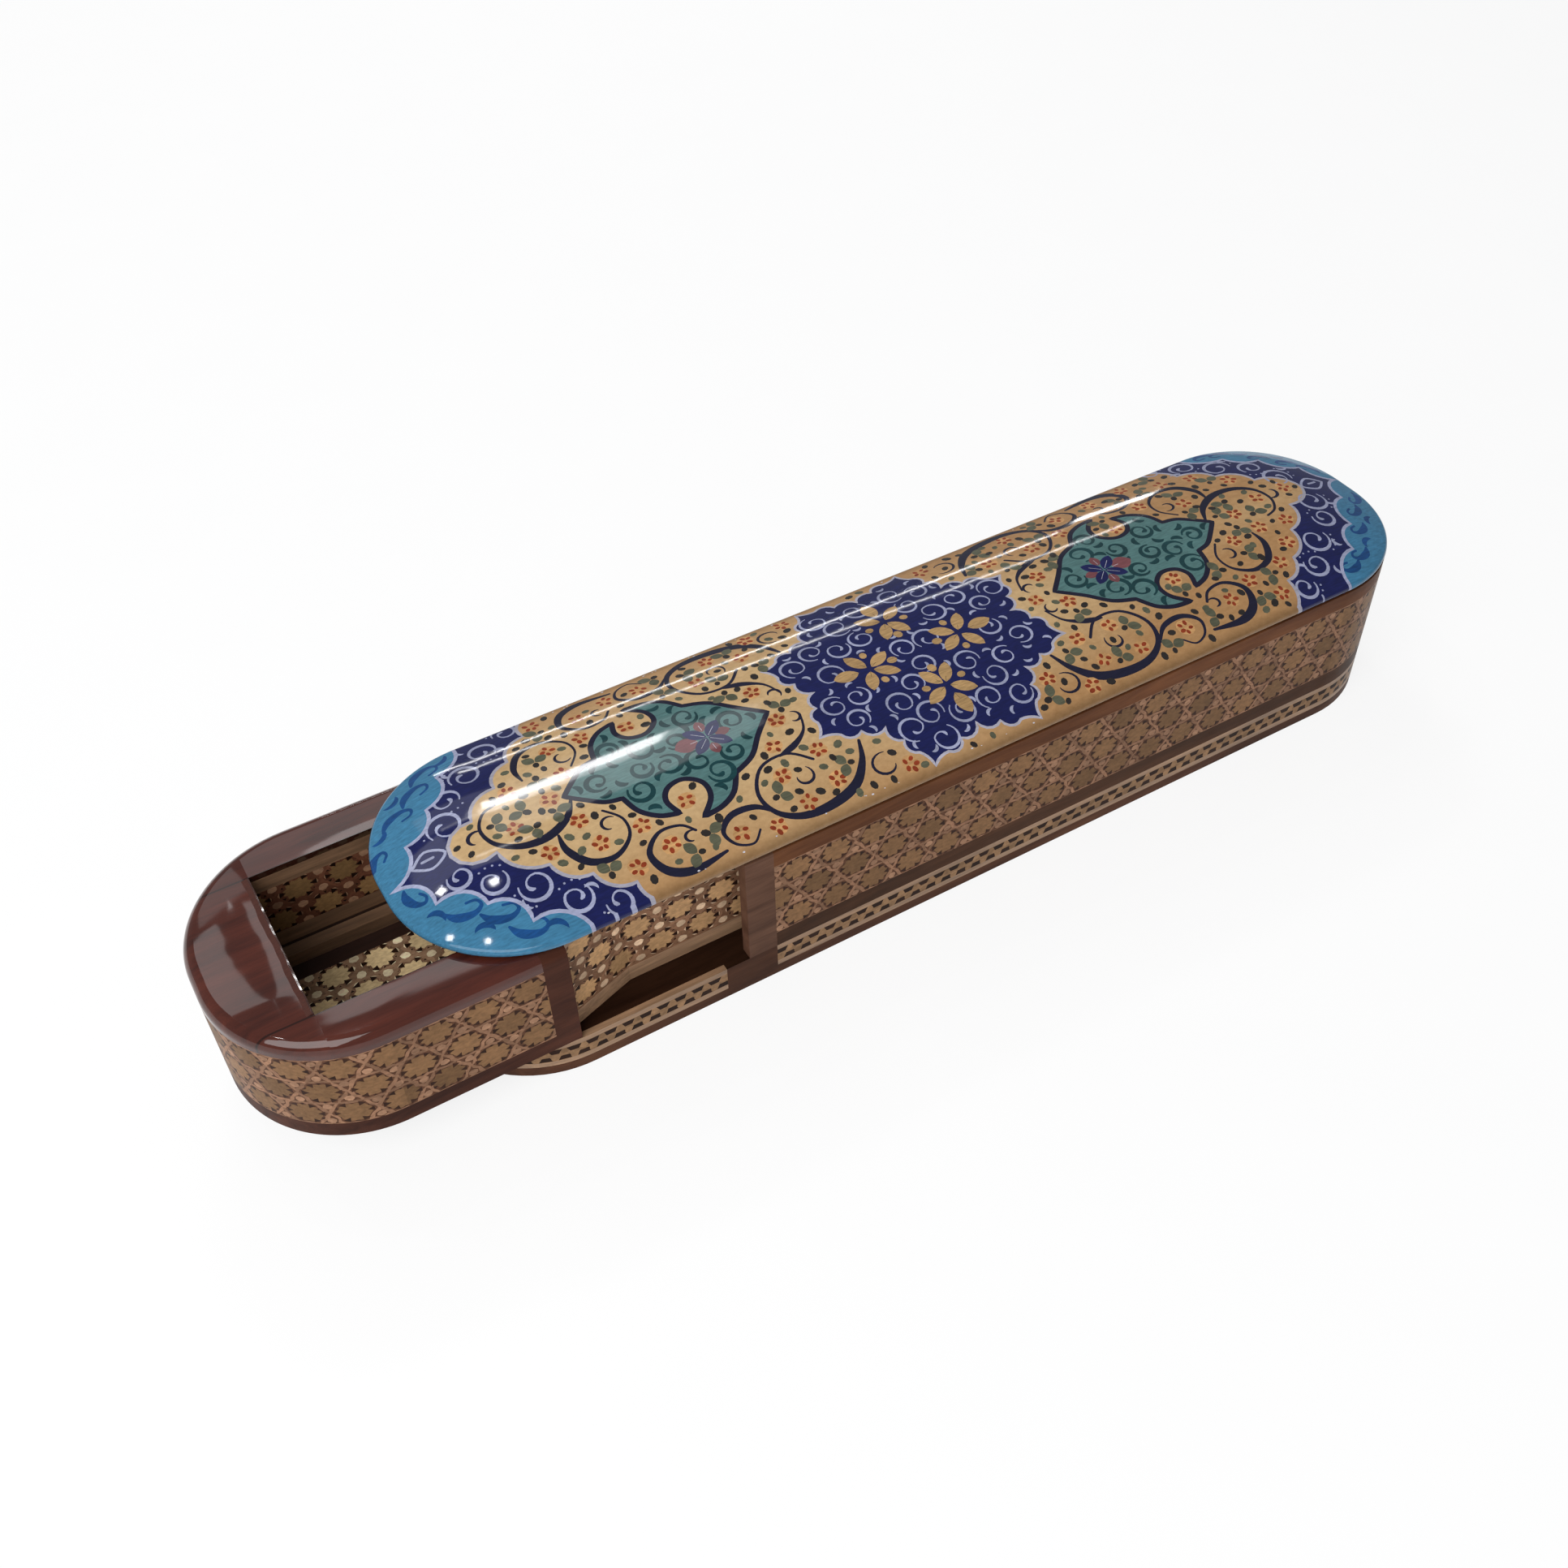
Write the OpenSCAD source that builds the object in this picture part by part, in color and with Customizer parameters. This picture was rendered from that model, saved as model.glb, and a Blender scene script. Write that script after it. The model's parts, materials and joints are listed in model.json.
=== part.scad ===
// Qalamdan pen box: a lacquered wooden case with a painted domed lid and a sliding pen drawer.
// Millimetres. Origin at the centre of the base's underside, +Z up, the drawer slides out along -X.

/* [Case] */
// Length over the rounded ends
case_l = 240; // [200:1:280]
// Width over the side walls
case_w = 57; // [54:0.5:66]
// Flat stretch in the middle of each rounded end
end_flat = 5; // [3:0.5:9]
// Thickness of a side wall, veneer included
case_wall = 7.3; // [6:0.1:8.5]
// Thickness of the rear wall at its middle, veneer included
rear_wall = 16; // [13:0.5:24]
// Thickness of the veneer and bands on the outside
skin_t = 1.2; // [0.8:0.1:2]

/* [Base] */
// Height of the plain edge below the inlaid border
base_edge_h = 2.5; // [2:0.1:6]
// Height of each pale stringing
string_h = 1.3; // [0.8:0.1:2]
// Height of the chequered band
chequer_h = 3.5; // [2:0.1:6]
// Depth of the border in the edge of the base
inlay_d = 1.4; // [0.8:0.1:2.5]

/* [Bands] */
// Height of the lower brown band of the walls
low_band_h = 4.1; // [3:0.1:8]
// Height of the khatam panels of the walls
khatam_h = 19.5; // [16:0.1:26]
// Height of the upper brown band of the walls
top_band_h = 3.9; // [3.4:0.1:7]

/* [Posts] */
// Length of the drawer's head, from the front end to the seam
head_l = 61; // [54:1:80]
// Width of a case post
case_post_w = 6.3; // [4:0.1:9]
// Width of a drawer post
drawer_post_w = 5; // [3:0.1:8]
// Depth of a post at the seam
post_d = 3; // [2:0.1:4]

/* [Lid] */
// Height of the lid at its crown
lid_h = 6.5; // [5:0.1:10]
// Radius of the lid's rounded edge
lid_edge_r = 1.1; // [0.7:0.1:1.6]

/* [Drawer] */
// How far the drawer stands out
pull_out = 36.7; // [0:0.1:120]
// Depth of the head in front of the pen channel
head_block_d = 16.7; // [10:0.1:24]
// Length of the slanted shoulders
shoulder_l = 14.1; // [8:0.1:24]
// Thickness of the floor board
floor_t = 1.4; // [1:0.1:3]
// Thickness of a side board
side_t = 1.2; // [1:0.1:3]
// Thickness of the drawer's rear wall
drawer_rear_t = 4; // [2:0.1:8]
// Thickness of the drawer's veneers and linings
veneer_t = 0.5; // [0.4:0.1:1]
// Thickness of the rim over the lining
rim_lip_t = 1.4; // [1:0.1:2.5]
// Radius of the rim's outer edge
rim_round = 2.4; // [1:0.1:3]
// Height of the pale strip along the bottom of a narrow side
side_strip_h = 3.9; // [2:0.1:6]
// Height of the pale strip along the top of a narrow side
side_top_h = 2.5; // [1.5:0.1:5]

/* [Lining] */
// Height of the skirting above the floor veneer
skirting_h = 3.2; // [2:0.1:6]
// Thickness of the skirting
skirting_t = 2.9; // [1.5:0.1:4]
// Height of the dark line above the skirting
line_h = 0.8; // [0.4:0.1:1.5]
// Height of the lower pale band of the lining
low_lining_h = 3.8; // [2:0.1:5]
// Height of the upper pale band of the lining
top_lining_h = 3.5; // [2:0.1:6]
// Width of a dark border on the floor
floor_border_w = 3.9; // [2:0.1:6]

/* [Clearances] */
// Gap below the drawer
floor_gap = 0.3; // [0.2:0.05:0.6]
// Gap between the rim and the lid
lid_gap = 0.4; // [0.2:0.05:0.8]
// Gap on each side of the drawer
side_gap = 0.3; // [0.2:0.05:0.6]
// Gap left at the closed seam
seam_gap = 0.3; // [0.2:0.05:0.6]
// Gap behind the closed drawer
rear_gap = 1; // [0.5:0.1:3]

/* [Hidden] */
$fn = 96;
past = 1;
near = -1;
far = 1;

half_l = case_l / 2;
half_w = case_w / 2;
corner_r = (case_w - end_flat) / 2;
corner_x = half_l - corner_r;
corner_y = end_flat / 2;

base_h = base_edge_h + 2 * string_h + chequer_h;
wall_h = low_band_h + khatam_h + top_band_h;
khatam_z = base_h + low_band_h;
top_band_z = khatam_z + khatam_h;
lid_z = base_h + wall_h;

// Closed places along the length
seam_x = head_l - half_l;
case_post_end = seam_x + case_post_w;
tunnel_end = half_l - rear_wall;
drawer_post_x1 = seam_x - seam_gap;
drawer_post_x0 = drawer_post_x1 - drawer_post_w;
channel_x0 = head_block_d - half_l;
drawer_end = tunnel_end - rear_gap;
channel_x1 = drawer_end - drawer_rear_t - veneer_t;

// Half widths, from the outside in
tunnel_half = half_w - case_wall;
narrow_half = tunnel_half - side_gap;
board_out = narrow_half - veneer_t;
board_in = board_out - side_t;
channel_half = board_in - veneer_t;
floor_khatam_half = channel_half - skirting_t - floor_border_w;

// Shoulder line of the drawer, and its veneer measured across the width
shoulder_half = half_w - post_d;
shoulder_end = drawer_post_x1 + shoulder_l;
shoulder_rise = (shoulder_half - narrow_half) / shoulder_l;
shoulder_veneer = veneer_t * sqrt(1 + shoulder_rise * shoulder_rise);
veneer_bend_x = shoulder_end + (veneer_t - shoulder_veneer) / shoulder_rise;

// Heights of the drawer
drawer_z = base_h + floor_gap;
board_z = drawer_z + floor_t;
floor_z = board_z + veneer_t;
drawer_top = lid_z - lid_gap;
lip_z = drawer_top - rim_lip_t;
side_khatam_z = drawer_z + side_strip_h;
side_top_z = lip_z - side_top_h;
line_z = floor_z + skirting_h;
low_lining_z = line_z + line_h;
lining_khatam_z = low_lining_z + low_lining_h;
top_lining_z = lip_z - top_lining_h;

// Dome of the lid: one arc, level at the crown and tangent to the rounded edge
edge_run = corner_r - lid_edge_r;
crown_over_edge = lid_h - lid_edge_r;
dome_r = (edge_run * edge_run + crown_over_edge * crown_over_edge - lid_edge_r * lid_edge_r)
         / (2 * (lid_h - 2 * lid_edge_r));
dome_tilt = asin(edge_run / (dome_r - lid_edge_r));

brown = [0.31, 0.17, 0.13];
dark_brown = [0.16, 0.09, 0.07];
khatam = [0.65, 0.52, 0.36];
pale = [0.78, 0.64, 0.48];
chequer = [0.5, 0.36, 0.24];
ochre = [0.84, 0.67, 0.39];

// Plan shapes and spans

// Closes a line of points on the far side with its mirror image on the near side
function both_sides(points) = concat(
    points,
    [for (i = [len(points) - 1 : -1 : 0]) [points[i].x, -points[i].y]]
);

// Rounded outline that the base, walls, lid and drawer head share, drawn in by an inset
module outline(inset = 0) {
    square([2 * corner_x, case_w - 2 * inset], center = true);
    square([case_l - 2 * inset, end_flat], center = true);
    for (sx = [-1, 1], sy = [-1, 1])
        translate([sx * corner_x, sy * corner_y]) circle(corner_r - inset);
}

// Strip of the given depth along the inside of the outline
module outline_strip(depth) {
    difference() {
        outline();
        outline(depth);
    }
}

// Keeps what lies between two places along the length
module between_x(x0, x1) {
    intersection() {
        children();
        translate([x0, -case_w]) square([x1 - x0, 2 * case_w]);
    }
}

// Keeps what lies on one side, further out than a half width
module beyond_half(side, half) {
    intersection() {
        children();
        translate([-case_l, side > 0 ? half : -half - case_w]) square([2 * case_l, case_w]);
    }
}

// Stands a plan shape up from one height to another
module stand(z0, z1) {
    translate([0, 0, z0]) linear_extrude(z1 - z0) children();
}

// Turns what is drawn for the near side to the side asked for
module on_side(side) {
    if (side == far) mirror([0, 1, 0]) children();
    else children();
}

// Puts a drawer piece where the drawer stands
module in_drawer() {
    translate([-pull_out, 0, 0]) children();
}

// Runs a half section, drawn out from the corner centres, round the whole outline
module round_outline(crown) {
    for (turn = [0 : 3]) {
        sx = (turn == 0 || turn == 3) ? 1 : -1;
        sy = turn < 2 ? 1 : -1;
        translate([sx * corner_x, sy * corner_y, 0])
            rotate(90 * turn) rotate_extrude(angle = 90) children();
    }
    for (side = [near, far])
        on_side(-side) translate([0, corner_y, 0])
            rotate([90, 0, 90]) linear_extrude(2 * corner_x, center = true) children();
    for (end = [0, 1])
        mirror([end, 0, 0]) translate([corner_x, 0, 0])
            rotate([90, 0, 0]) linear_extrude(end_flat, center = true) children();
    translate([-corner_x, -corner_y, 0]) cube([2 * corner_x, end_flat, crown]);
}

// Base

module base_board() {
    color(brown) difference() {
        stand(0, base_h) outline();
        stand(base_edge_h, base_h + past) difference() {
            outline(-past);
            outline(inlay_d);
            translate([drawer_post_x0, -case_w]) square([case_post_end - drawer_post_x0, 2 * case_w]);
        }
    }
}

// One level of the inlaid border, in front of the plain stretch or behind it
module border_run(front, z0, z1) {
    stand(z0, z1)
        between_x(front ? -case_l : case_post_end, front ? drawer_post_x0 : case_l)
            outline_strip(inlay_d);
}

module lower_stringing(front) {
    color(pale) border_run(front, base_edge_h, base_edge_h + string_h);
}
module chequer_band(front) {
    color(chequer) border_run(front, base_edge_h + string_h, base_h - string_h);
}
module upper_stringing(front) {
    color(pale) border_run(front, base_h - string_h, base_h);
}

module base_lower_stringing_front() lower_stringing(true);
module base_lower_stringing_rear() lower_stringing(false);
module base_chequer_front() chequer_band(true);
module base_chequer_rear() chequer_band(false);
module base_upper_stringing_front() upper_stringing(true);
module base_upper_stringing_rear() upper_stringing(false);

// Case

// Plan of the tunnel's mouth: straight sides with a flare that takes the drawer's shoulders
module tunnel_mouth() {
    polygon(both_sides([
        [seam_x, shoulder_half + side_gap],
        [shoulder_end + seam_gap, tunnel_half],
        [tunnel_end, tunnel_half]
    ]));
}

module case_wall_core(side) {
    color(brown) stand(base_h, lid_z) beyond_half(side, 0) difference() {
        between_x(case_post_end, tunnel_end) outline(skin_t);
        tunnel_mouth();
    }
}
module case_wall_near() case_wall_core(near);
module case_wall_far() case_wall_core(far);

module case_rear_wall() {
    color(brown) stand(base_h, lid_z) between_x(tunnel_end, half_l) outline(skin_t);
}

module case_post(side) {
    color(brown) stand(base_h, lid_z) beyond_half(side, 0) difference() {
        between_x(seam_x, case_post_end) outline();
        tunnel_mouth();
    }
}
module case_post_near() case_post(near);
module case_post_far() case_post(far);

module case_skin(x0, x1, z0, z1) {
    stand(z0, z1) between_x(x0, x1) outline_strip(skin_t);
}
module case_lower_band() {
    color(brown) case_skin(case_post_end, half_l, base_h, khatam_z);
}
module case_upper_band() {
    color(brown) case_skin(case_post_end, half_l, top_band_z, lid_z);
}
module case_khatam_side(side) {
    color(khatam) stand(khatam_z, top_band_z)
        beyond_half(side, 0) between_x(case_post_end, corner_x) outline_strip(skin_t);
}
module case_khatam_near() case_khatam_side(near);
module case_khatam_far() case_khatam_side(far);
module case_khatam_rear() {
    color(khatam) case_skin(corner_x, half_l, khatam_z, top_band_z);
}

// Lid

// Half section of the lid, from a corner centre out to the rounded edge
module lid_section() {
    reach = 3 * lid_edge_r;
    intersection() {
        translate([0, lid_h - dome_r]) circle(dome_r);
        union() {
            square([edge_run, lid_h + past]);
            polygon([
                [edge_run, lid_edge_r],
                [edge_run + reach * sin(dome_tilt), lid_edge_r + reach * cos(dome_tilt)],
                [edge_run, lid_edge_r + reach]
            ]);
        }
    }
    intersection() {
        translate([edge_run, lid_edge_r]) circle(lid_edge_r);
        square([corner_r + past, 2 * lid_edge_r]);
    }
}

module lid_board() {
    color(ochre) translate([0, 0, lid_z]) round_outline(lid_h) lid_section();
}

// Drawer core

// Plan of the drawer inside its veneers, from the rounded head to the narrow rear end
module drawer_plan() {
    difference() {
        between_x(-half_l, drawer_end) outline(skin_t);
        for (side = [near, far])
            on_side(side) polygon([
                [drawer_post_x0, -case_w],
                [drawer_post_x0, -shoulder_half],
                [drawer_post_x1, -shoulder_half],
                [drawer_post_x1, shoulder_veneer - shoulder_half],
                [veneer_bend_x, -board_out],
                [case_l, -board_out],
                [case_l, -case_w]
            ]);
    }
}

module drawer_floor() {
    color(dark_brown) in_drawer() stand(drawer_z, board_z) drawer_plan();
}

module drawer_head_block() {
    color(brown) in_drawer() stand(board_z, top_band_z)
        between_x(-half_l, channel_x0 - veneer_t) drawer_plan();
}

// Cheek block beside the channel: low under the rim's rail, and up to the lip behind the post
module drawer_cheek(side) {
    color(brown) in_drawer() {
        stand(board_z, top_band_z) beyond_half(side, board_out)
            between_x(channel_x0 - veneer_t, drawer_post_x0) drawer_plan();
        stand(board_z, lip_z) beyond_half(side, board_out)
            between_x(drawer_post_x0, veneer_bend_x) drawer_plan();
    }
}
module drawer_cheek_near() drawer_cheek(near);
module drawer_cheek_far() drawer_cheek(far);

module board_span(side, x0, x1) {
    on_side(side) translate([x0, -board_out]) square([x1 - x0, side_t]);
}

module drawer_side(side) {
    color(brown) in_drawer() {
        stand(board_z, top_band_z) board_span(side, channel_x0 - veneer_t, drawer_post_x0);
        stand(board_z, lip_z) board_span(side, drawer_post_x0, drawer_end - drawer_rear_t);
    }
}
module drawer_side_near() drawer_side(near);
module drawer_side_far() drawer_side(far);

module drawer_rear_wall() {
    color(brown) in_drawer() stand(board_z, lip_z)
        translate([drawer_end - drawer_rear_t, -board_out]) square([drawer_rear_t, 2 * board_out]);
}

// Rim

// Half section of the rim's slab with its rounded outer edge
module rim_section() {
    rim_h = drawer_top - top_band_z;
    square([corner_r - rim_round, rim_h]);
    square([corner_r, rim_h - rim_round]);
    translate([corner_r - rim_round, rim_h - rim_round]) circle(rim_round);
}

module rim_slab() {
    translate([0, 0, top_band_z]) round_outline(drawer_top - top_band_z) rim_section();
}

module drawer_post(side) {
    color(brown) in_drawer() {
        stand(drawer_z, top_band_z) beyond_half(side, shoulder_half)
            between_x(drawer_post_x0, drawer_post_x1) outline();
        intersection() {
            rim_slab();
            stand(top_band_z, drawer_top + past) beyond_half(side, shoulder_half)
                between_x(drawer_post_x0, drawer_post_x1) outline();
        }
    }
}
module drawer_post_near() drawer_post(near);
module drawer_post_far() drawer_post(far);

module rim_head_cap() {
    color(brown) in_drawer() difference() {
        intersection() {
            rim_slab();
            translate([-half_l, -channel_half, top_band_z])
                cube([head_block_d, 2 * channel_half, drawer_top]);
        }
        translate([channel_x0 - veneer_t, -case_w, 0]) cube([case_l, 2 * case_w, lip_z]);
    }
}

// Plan of a rail's top: beside the channel, round the shoulder and along the narrow side
module rail_plan() {
    polygon([
        [drawer_post_x0, -channel_half],
        [drawer_post_x0, -shoulder_half],
        [drawer_post_x1, -shoulder_half],
        [shoulder_end, -narrow_half],
        [drawer_end - drawer_rear_t - veneer_t, -narrow_half],
        [drawer_end - drawer_rear_t - veneer_t, -channel_half]
    ]);
}

module rim_rail(side) {
    color(brown) in_drawer() {
        difference() {
            intersection() {
                rim_slab();
                stand(top_band_z, drawer_top + past) beyond_half(side, channel_half)
                    between_x(-half_l, drawer_post_x0) outline();
            }
            on_side(side) translate([channel_x0 - veneer_t, -board_in, 0])
                cube([case_l, half_w, lip_z]);
        }
        on_side(side) stand(lip_z, drawer_top) rail_plan();
    }
}
module rim_rail_near() rim_rail(near);
module rim_rail_far() rim_rail(far);

module rim_rear_strip() {
    color(brown) in_drawer() stand(lip_z, drawer_top)
        translate([channel_x1, -narrow_half]) square([drawer_end - channel_x1, 2 * narrow_half]);
}

// Veneers outside the drawer

module head_skin(x0, x1, z0, z1) {
    in_drawer() stand(z0, z1) between_x(x0, x1) outline_strip(skin_t);
}
module drawer_lower_band() {
    color(brown) head_skin(-half_l, drawer_post_x0, drawer_z, khatam_z);
}
module drawer_khatam_head() {
    color(khatam) head_skin(-half_l, -corner_x, khatam_z, top_band_z);
}
module drawer_khatam_side(side) {
    color(khatam) in_drawer() stand(khatam_z, top_band_z)
        beyond_half(side, 0) between_x(-corner_x, drawer_post_x0) outline_strip(skin_t);
}
module drawer_khatam_near() drawer_khatam_side(near);
module drawer_khatam_far() drawer_khatam_side(far);

// Strip of veneer that bends from the shoulder into the narrow side
module side_strip(side, z0, z1) {
    in_drawer() on_side(side) stand(z0, z1) polygon([
        [drawer_post_x1, -shoulder_half],
        [shoulder_end, -narrow_half],
        [drawer_end, -narrow_half],
        [drawer_end, -board_out],
        [veneer_bend_x, -board_out],
        [drawer_post_x1, shoulder_veneer - shoulder_half]
    ]);
}
module side_bottom_strip(side) {
    color(pale) side_strip(side, drawer_z, side_khatam_z);
}
module side_khatam(side) {
    color(khatam) side_strip(side, side_khatam_z, side_top_z);
}
module side_top_strip(side) {
    color(pale) side_strip(side, side_top_z, lip_z);
}
module side_bottom_strip_near() side_bottom_strip(near);
module side_bottom_strip_far() side_bottom_strip(far);
module side_khatam_near() side_khatam(near);
module side_khatam_far() side_khatam(far);
module side_top_strip_near() side_top_strip(near);
module side_top_strip_far() side_top_strip(far);

// Lining of the pen channel

module lining(side, z0, z1, thickness = veneer_t) {
    in_drawer() on_side(side) stand(z0, z1)
        translate([channel_x0, -board_in]) square([channel_x1 - channel_x0, thickness]);
}
module lining_skirting(side) {
    color(pale) lining(side, board_z, line_z, veneer_t + skirting_t);
}
module lining_line(side) {
    color(dark_brown) lining(side, line_z, low_lining_z);
}
module lining_low_band(side) {
    color(pale) lining(side, low_lining_z, lining_khatam_z);
}
module lining_khatam(side) {
    color(khatam) lining(side, lining_khatam_z, top_lining_z);
}
module lining_top_band(side) {
    color(pale) lining(side, top_lining_z, lip_z);
}
module lining_skirting_near() lining_skirting(near);
module lining_skirting_far() lining_skirting(far);
module lining_line_near() lining_line(near);
module lining_line_far() lining_line(far);
module lining_low_band_near() lining_low_band(near);
module lining_low_band_far() lining_low_band(far);
module lining_khatam_near() lining_khatam(near);
module lining_khatam_far() lining_khatam(far);
module lining_top_band_near() lining_top_band(near);
module lining_top_band_far() lining_top_band(far);

module lining_end(x) {
    color(khatam) in_drawer() stand(board_z, lip_z)
        translate([x, -board_in]) square([veneer_t, 2 * board_in]);
}
module lining_front_panel() lining_end(channel_x0 - veneer_t);
module lining_rear_panel() lining_end(channel_x1);

module floor_khatam() {
    color(khatam) in_drawer() stand(board_z, floor_z)
        translate([channel_x0, -floor_khatam_half])
            square([channel_x1 - channel_x0, 2 * floor_khatam_half]);
}
module floor_border(side) {
    color(dark_brown) in_drawer() on_side(side) stand(board_z, floor_z)
        translate([channel_x0, -floor_khatam_half - floor_border_w])
            square([channel_x1 - channel_x0, floor_border_w]);
}
module floor_border_near() floor_border(near);
module floor_border_far() floor_border(far);

base_board();
base_lower_stringing_front();
base_lower_stringing_rear();
base_chequer_front();
base_chequer_rear();
base_upper_stringing_front();
base_upper_stringing_rear();
case_wall_near();
case_wall_far();
case_rear_wall();
case_post_near();
case_post_far();
case_lower_band();
case_upper_band();
case_khatam_near();
case_khatam_far();
case_khatam_rear();
lid_board();
drawer_floor();
drawer_head_block();
drawer_cheek_near();
drawer_cheek_far();
drawer_side_near();
drawer_side_far();
drawer_rear_wall();
drawer_post_near();
drawer_post_far();
rim_head_cap();
rim_rail_near();
rim_rail_far();
rim_rear_strip();
drawer_lower_band();
drawer_khatam_head();
drawer_khatam_near();
drawer_khatam_far();
side_bottom_strip_near();
side_bottom_strip_far();
side_khatam_near();
side_khatam_far();
side_top_strip_near();
side_top_strip_far();
lining_skirting_near();
lining_skirting_far();
lining_line_near();
lining_line_far();
lining_low_band_near();
lining_low_band_far();
lining_khatam_near();
lining_khatam_far();
lining_top_band_near();
lining_top_band_far();
lining_front_panel();
lining_rear_panel();
floor_khatam();
floor_border_near();
floor_border_far();
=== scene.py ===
import json
import math
import random
from functools import partial

import bpy
from mathutils import Matrix, Vector
from mathutils.geometry import delaunay_2d_cdt


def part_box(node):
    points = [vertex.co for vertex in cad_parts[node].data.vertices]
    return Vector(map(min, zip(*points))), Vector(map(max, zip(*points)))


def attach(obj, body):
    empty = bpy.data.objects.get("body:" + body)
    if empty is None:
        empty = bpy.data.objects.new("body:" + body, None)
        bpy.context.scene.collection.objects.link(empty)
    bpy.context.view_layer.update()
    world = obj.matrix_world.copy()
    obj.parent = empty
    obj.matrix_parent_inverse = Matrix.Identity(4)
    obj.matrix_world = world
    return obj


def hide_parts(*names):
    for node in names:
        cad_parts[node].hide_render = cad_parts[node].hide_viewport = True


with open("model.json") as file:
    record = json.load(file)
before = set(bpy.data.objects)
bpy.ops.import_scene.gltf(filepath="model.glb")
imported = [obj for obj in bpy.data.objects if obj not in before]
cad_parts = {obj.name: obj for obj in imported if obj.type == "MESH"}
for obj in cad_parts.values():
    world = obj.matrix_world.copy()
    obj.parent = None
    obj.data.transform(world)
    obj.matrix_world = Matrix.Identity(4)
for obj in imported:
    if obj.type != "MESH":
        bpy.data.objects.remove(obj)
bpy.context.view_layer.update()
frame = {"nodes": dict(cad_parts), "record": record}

MM = 0.001
chance = random.Random(19)

# Sizes in millimetres: the first two repeat the part's source, the rest follow from the frame

END_FLAT = 5.0
LID_EDGE_R = 1.1


def box_mm(node):
    low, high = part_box(node)
    return low / MM, high / MM


lid_low, lid_high = box_mm("lid_board")
HALF_L = lid_high.x
HALF_W = lid_high.y
CORNER_R = HALF_W - END_FLAT / 2
CORNER_X = HALF_L - CORNER_R
CORNER_Y = END_FLAT / 2
LID_Z = lid_low.z
LID_H = lid_high.z - lid_low.z
cap_low, cap_high = box_mm("rim_head_cap")
PULL_OUT = -HALF_L - cap_low.x
CHANNEL_FRONT = cap_high.x
CHANNEL_HALF = cap_high.y

EDGE_RUN = CORNER_R - LID_EDGE_R
DOME_R = (EDGE_RUN ** 2 + (LID_H - LID_EDGE_R) ** 2 - LID_EDGE_R ** 2) / (2 * (LID_H - 2 * LID_EDGE_R))
DOME_TILT = math.asin(EDGE_RUN / (DOME_R - LID_EDGE_R))
DOME_RUN = DOME_R * math.sin(DOME_TILT)

# Flat drawing: points, paths and strokes


def polar(centre, radius, degrees):
    turn = math.radians(degrees)
    return (centre[0] + radius * math.cos(turn), centre[1] + radius * math.sin(turn))


def ring(centre, radius, count, start=0.0, squash=1.0, lean=0.0):
    """Points round a circle or an oval; squash is the short side over the long one, lean its direction."""
    cosine = math.cos(math.radians(lean))
    sine = math.sin(math.radians(lean))
    points = []
    for i in range(count):
        x, y = polar((0, 0), radius, start + 360 * i / count)
        y *= squash
        points.append((centre[0] + x * cosine - y * sine, centre[1] + x * sine + y * cosine))
    return points


def coil(centre, start_r, end_r, start, sweep, count):
    """Path whose radius changes evenly while it turns by sweep degrees."""
    path = []
    for i in range(count + 1):
        t = i / count
        path.append(polar(centre, start_r + (end_r - start_r) * t, start + sweep * t))
    return path


def lobe(a, b, bulge, count=8):
    """Circular arc from a to b that rises to its left by bulge times their distance; b is left out."""
    dx, dy = b[0] - a[0], b[1] - a[1]
    chord = math.hypot(dx, dy)
    rise = bulge * chord
    radius = (chord * chord / 4 + rise * rise) / (2 * rise)
    mid = ((a[0] + b[0]) / 2, (a[1] + b[1]) / 2)
    left = (-dy / chord, dx / chord)
    centre = (mid[0] + left[0] * (rise - radius), mid[1] + left[1] * (rise - radius))
    start = math.degrees(math.atan2(a[1] - centre[1], a[0] - centre[0]))
    sweep = -4 * math.degrees(math.atan(2 * rise / chord))
    return [polar(centre, abs(radius), start + sweep * i / count) for i in range(count)]


def scallops(notches, bulge, count=8):
    """Lobes from notch to notch; bulge is one number or one for each lobe."""
    bulges = bulge if isinstance(bulge, list) else [bulge] * (len(notches) - 1)
    path = []
    for a, b, rise in zip(notches, notches[1:], bulges):
        path += lobe(a, b, rise, count)
    return path + [notches[-1]]


def blend(a, b, c, d, t):
    """Number a part t of the way from b to c, on a smooth curve through a, b, c and d."""
    bend = 2 * a - 5 * b + 4 * c - d
    twist = 3 * b - a - 3 * c + d
    return 0.5 * (2 * b + (c - a) * t + bend * t * t + twist * t ** 3)


def flowing(points, steps=6):
    """Smooth path through the points."""
    path = []
    padded = [points[0], *points, points[-1]]
    for four in zip(padded, padded[1:], padded[2:], padded[3:]):
        for i in range(steps):
            path.append(tuple(blend(*numbers, i / steps) for numbers in zip(*four)))
    return path + [tuple(points[-1])]


def mirrored(points, flip_x=False, flip_y=False):
    return [(-x if flip_x else x, -y if flip_y else y) for x, y in points]


RIGHT_DRIFT = 0.025
DRIFT_FROM = 30


def placed(points, flip_x=False, flip_y=False, middle=-1.5):
    """Puts the left half's drawing in a quarter; the right half drifts a little to the far side."""
    out = []
    for x, y in mirrored(points, flip_y=flip_y):
        if flip_x:
            x = 2 * middle - x
            y += RIGHT_DRIFT * max(x - DRIFT_FROM, 0)
        out.append((x, y))
    return out


def area(points):
    return sum(a[0] * b[1] - b[0] * a[1] for a, b in zip(points, points[1:] + points[:1])) / 2


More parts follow.
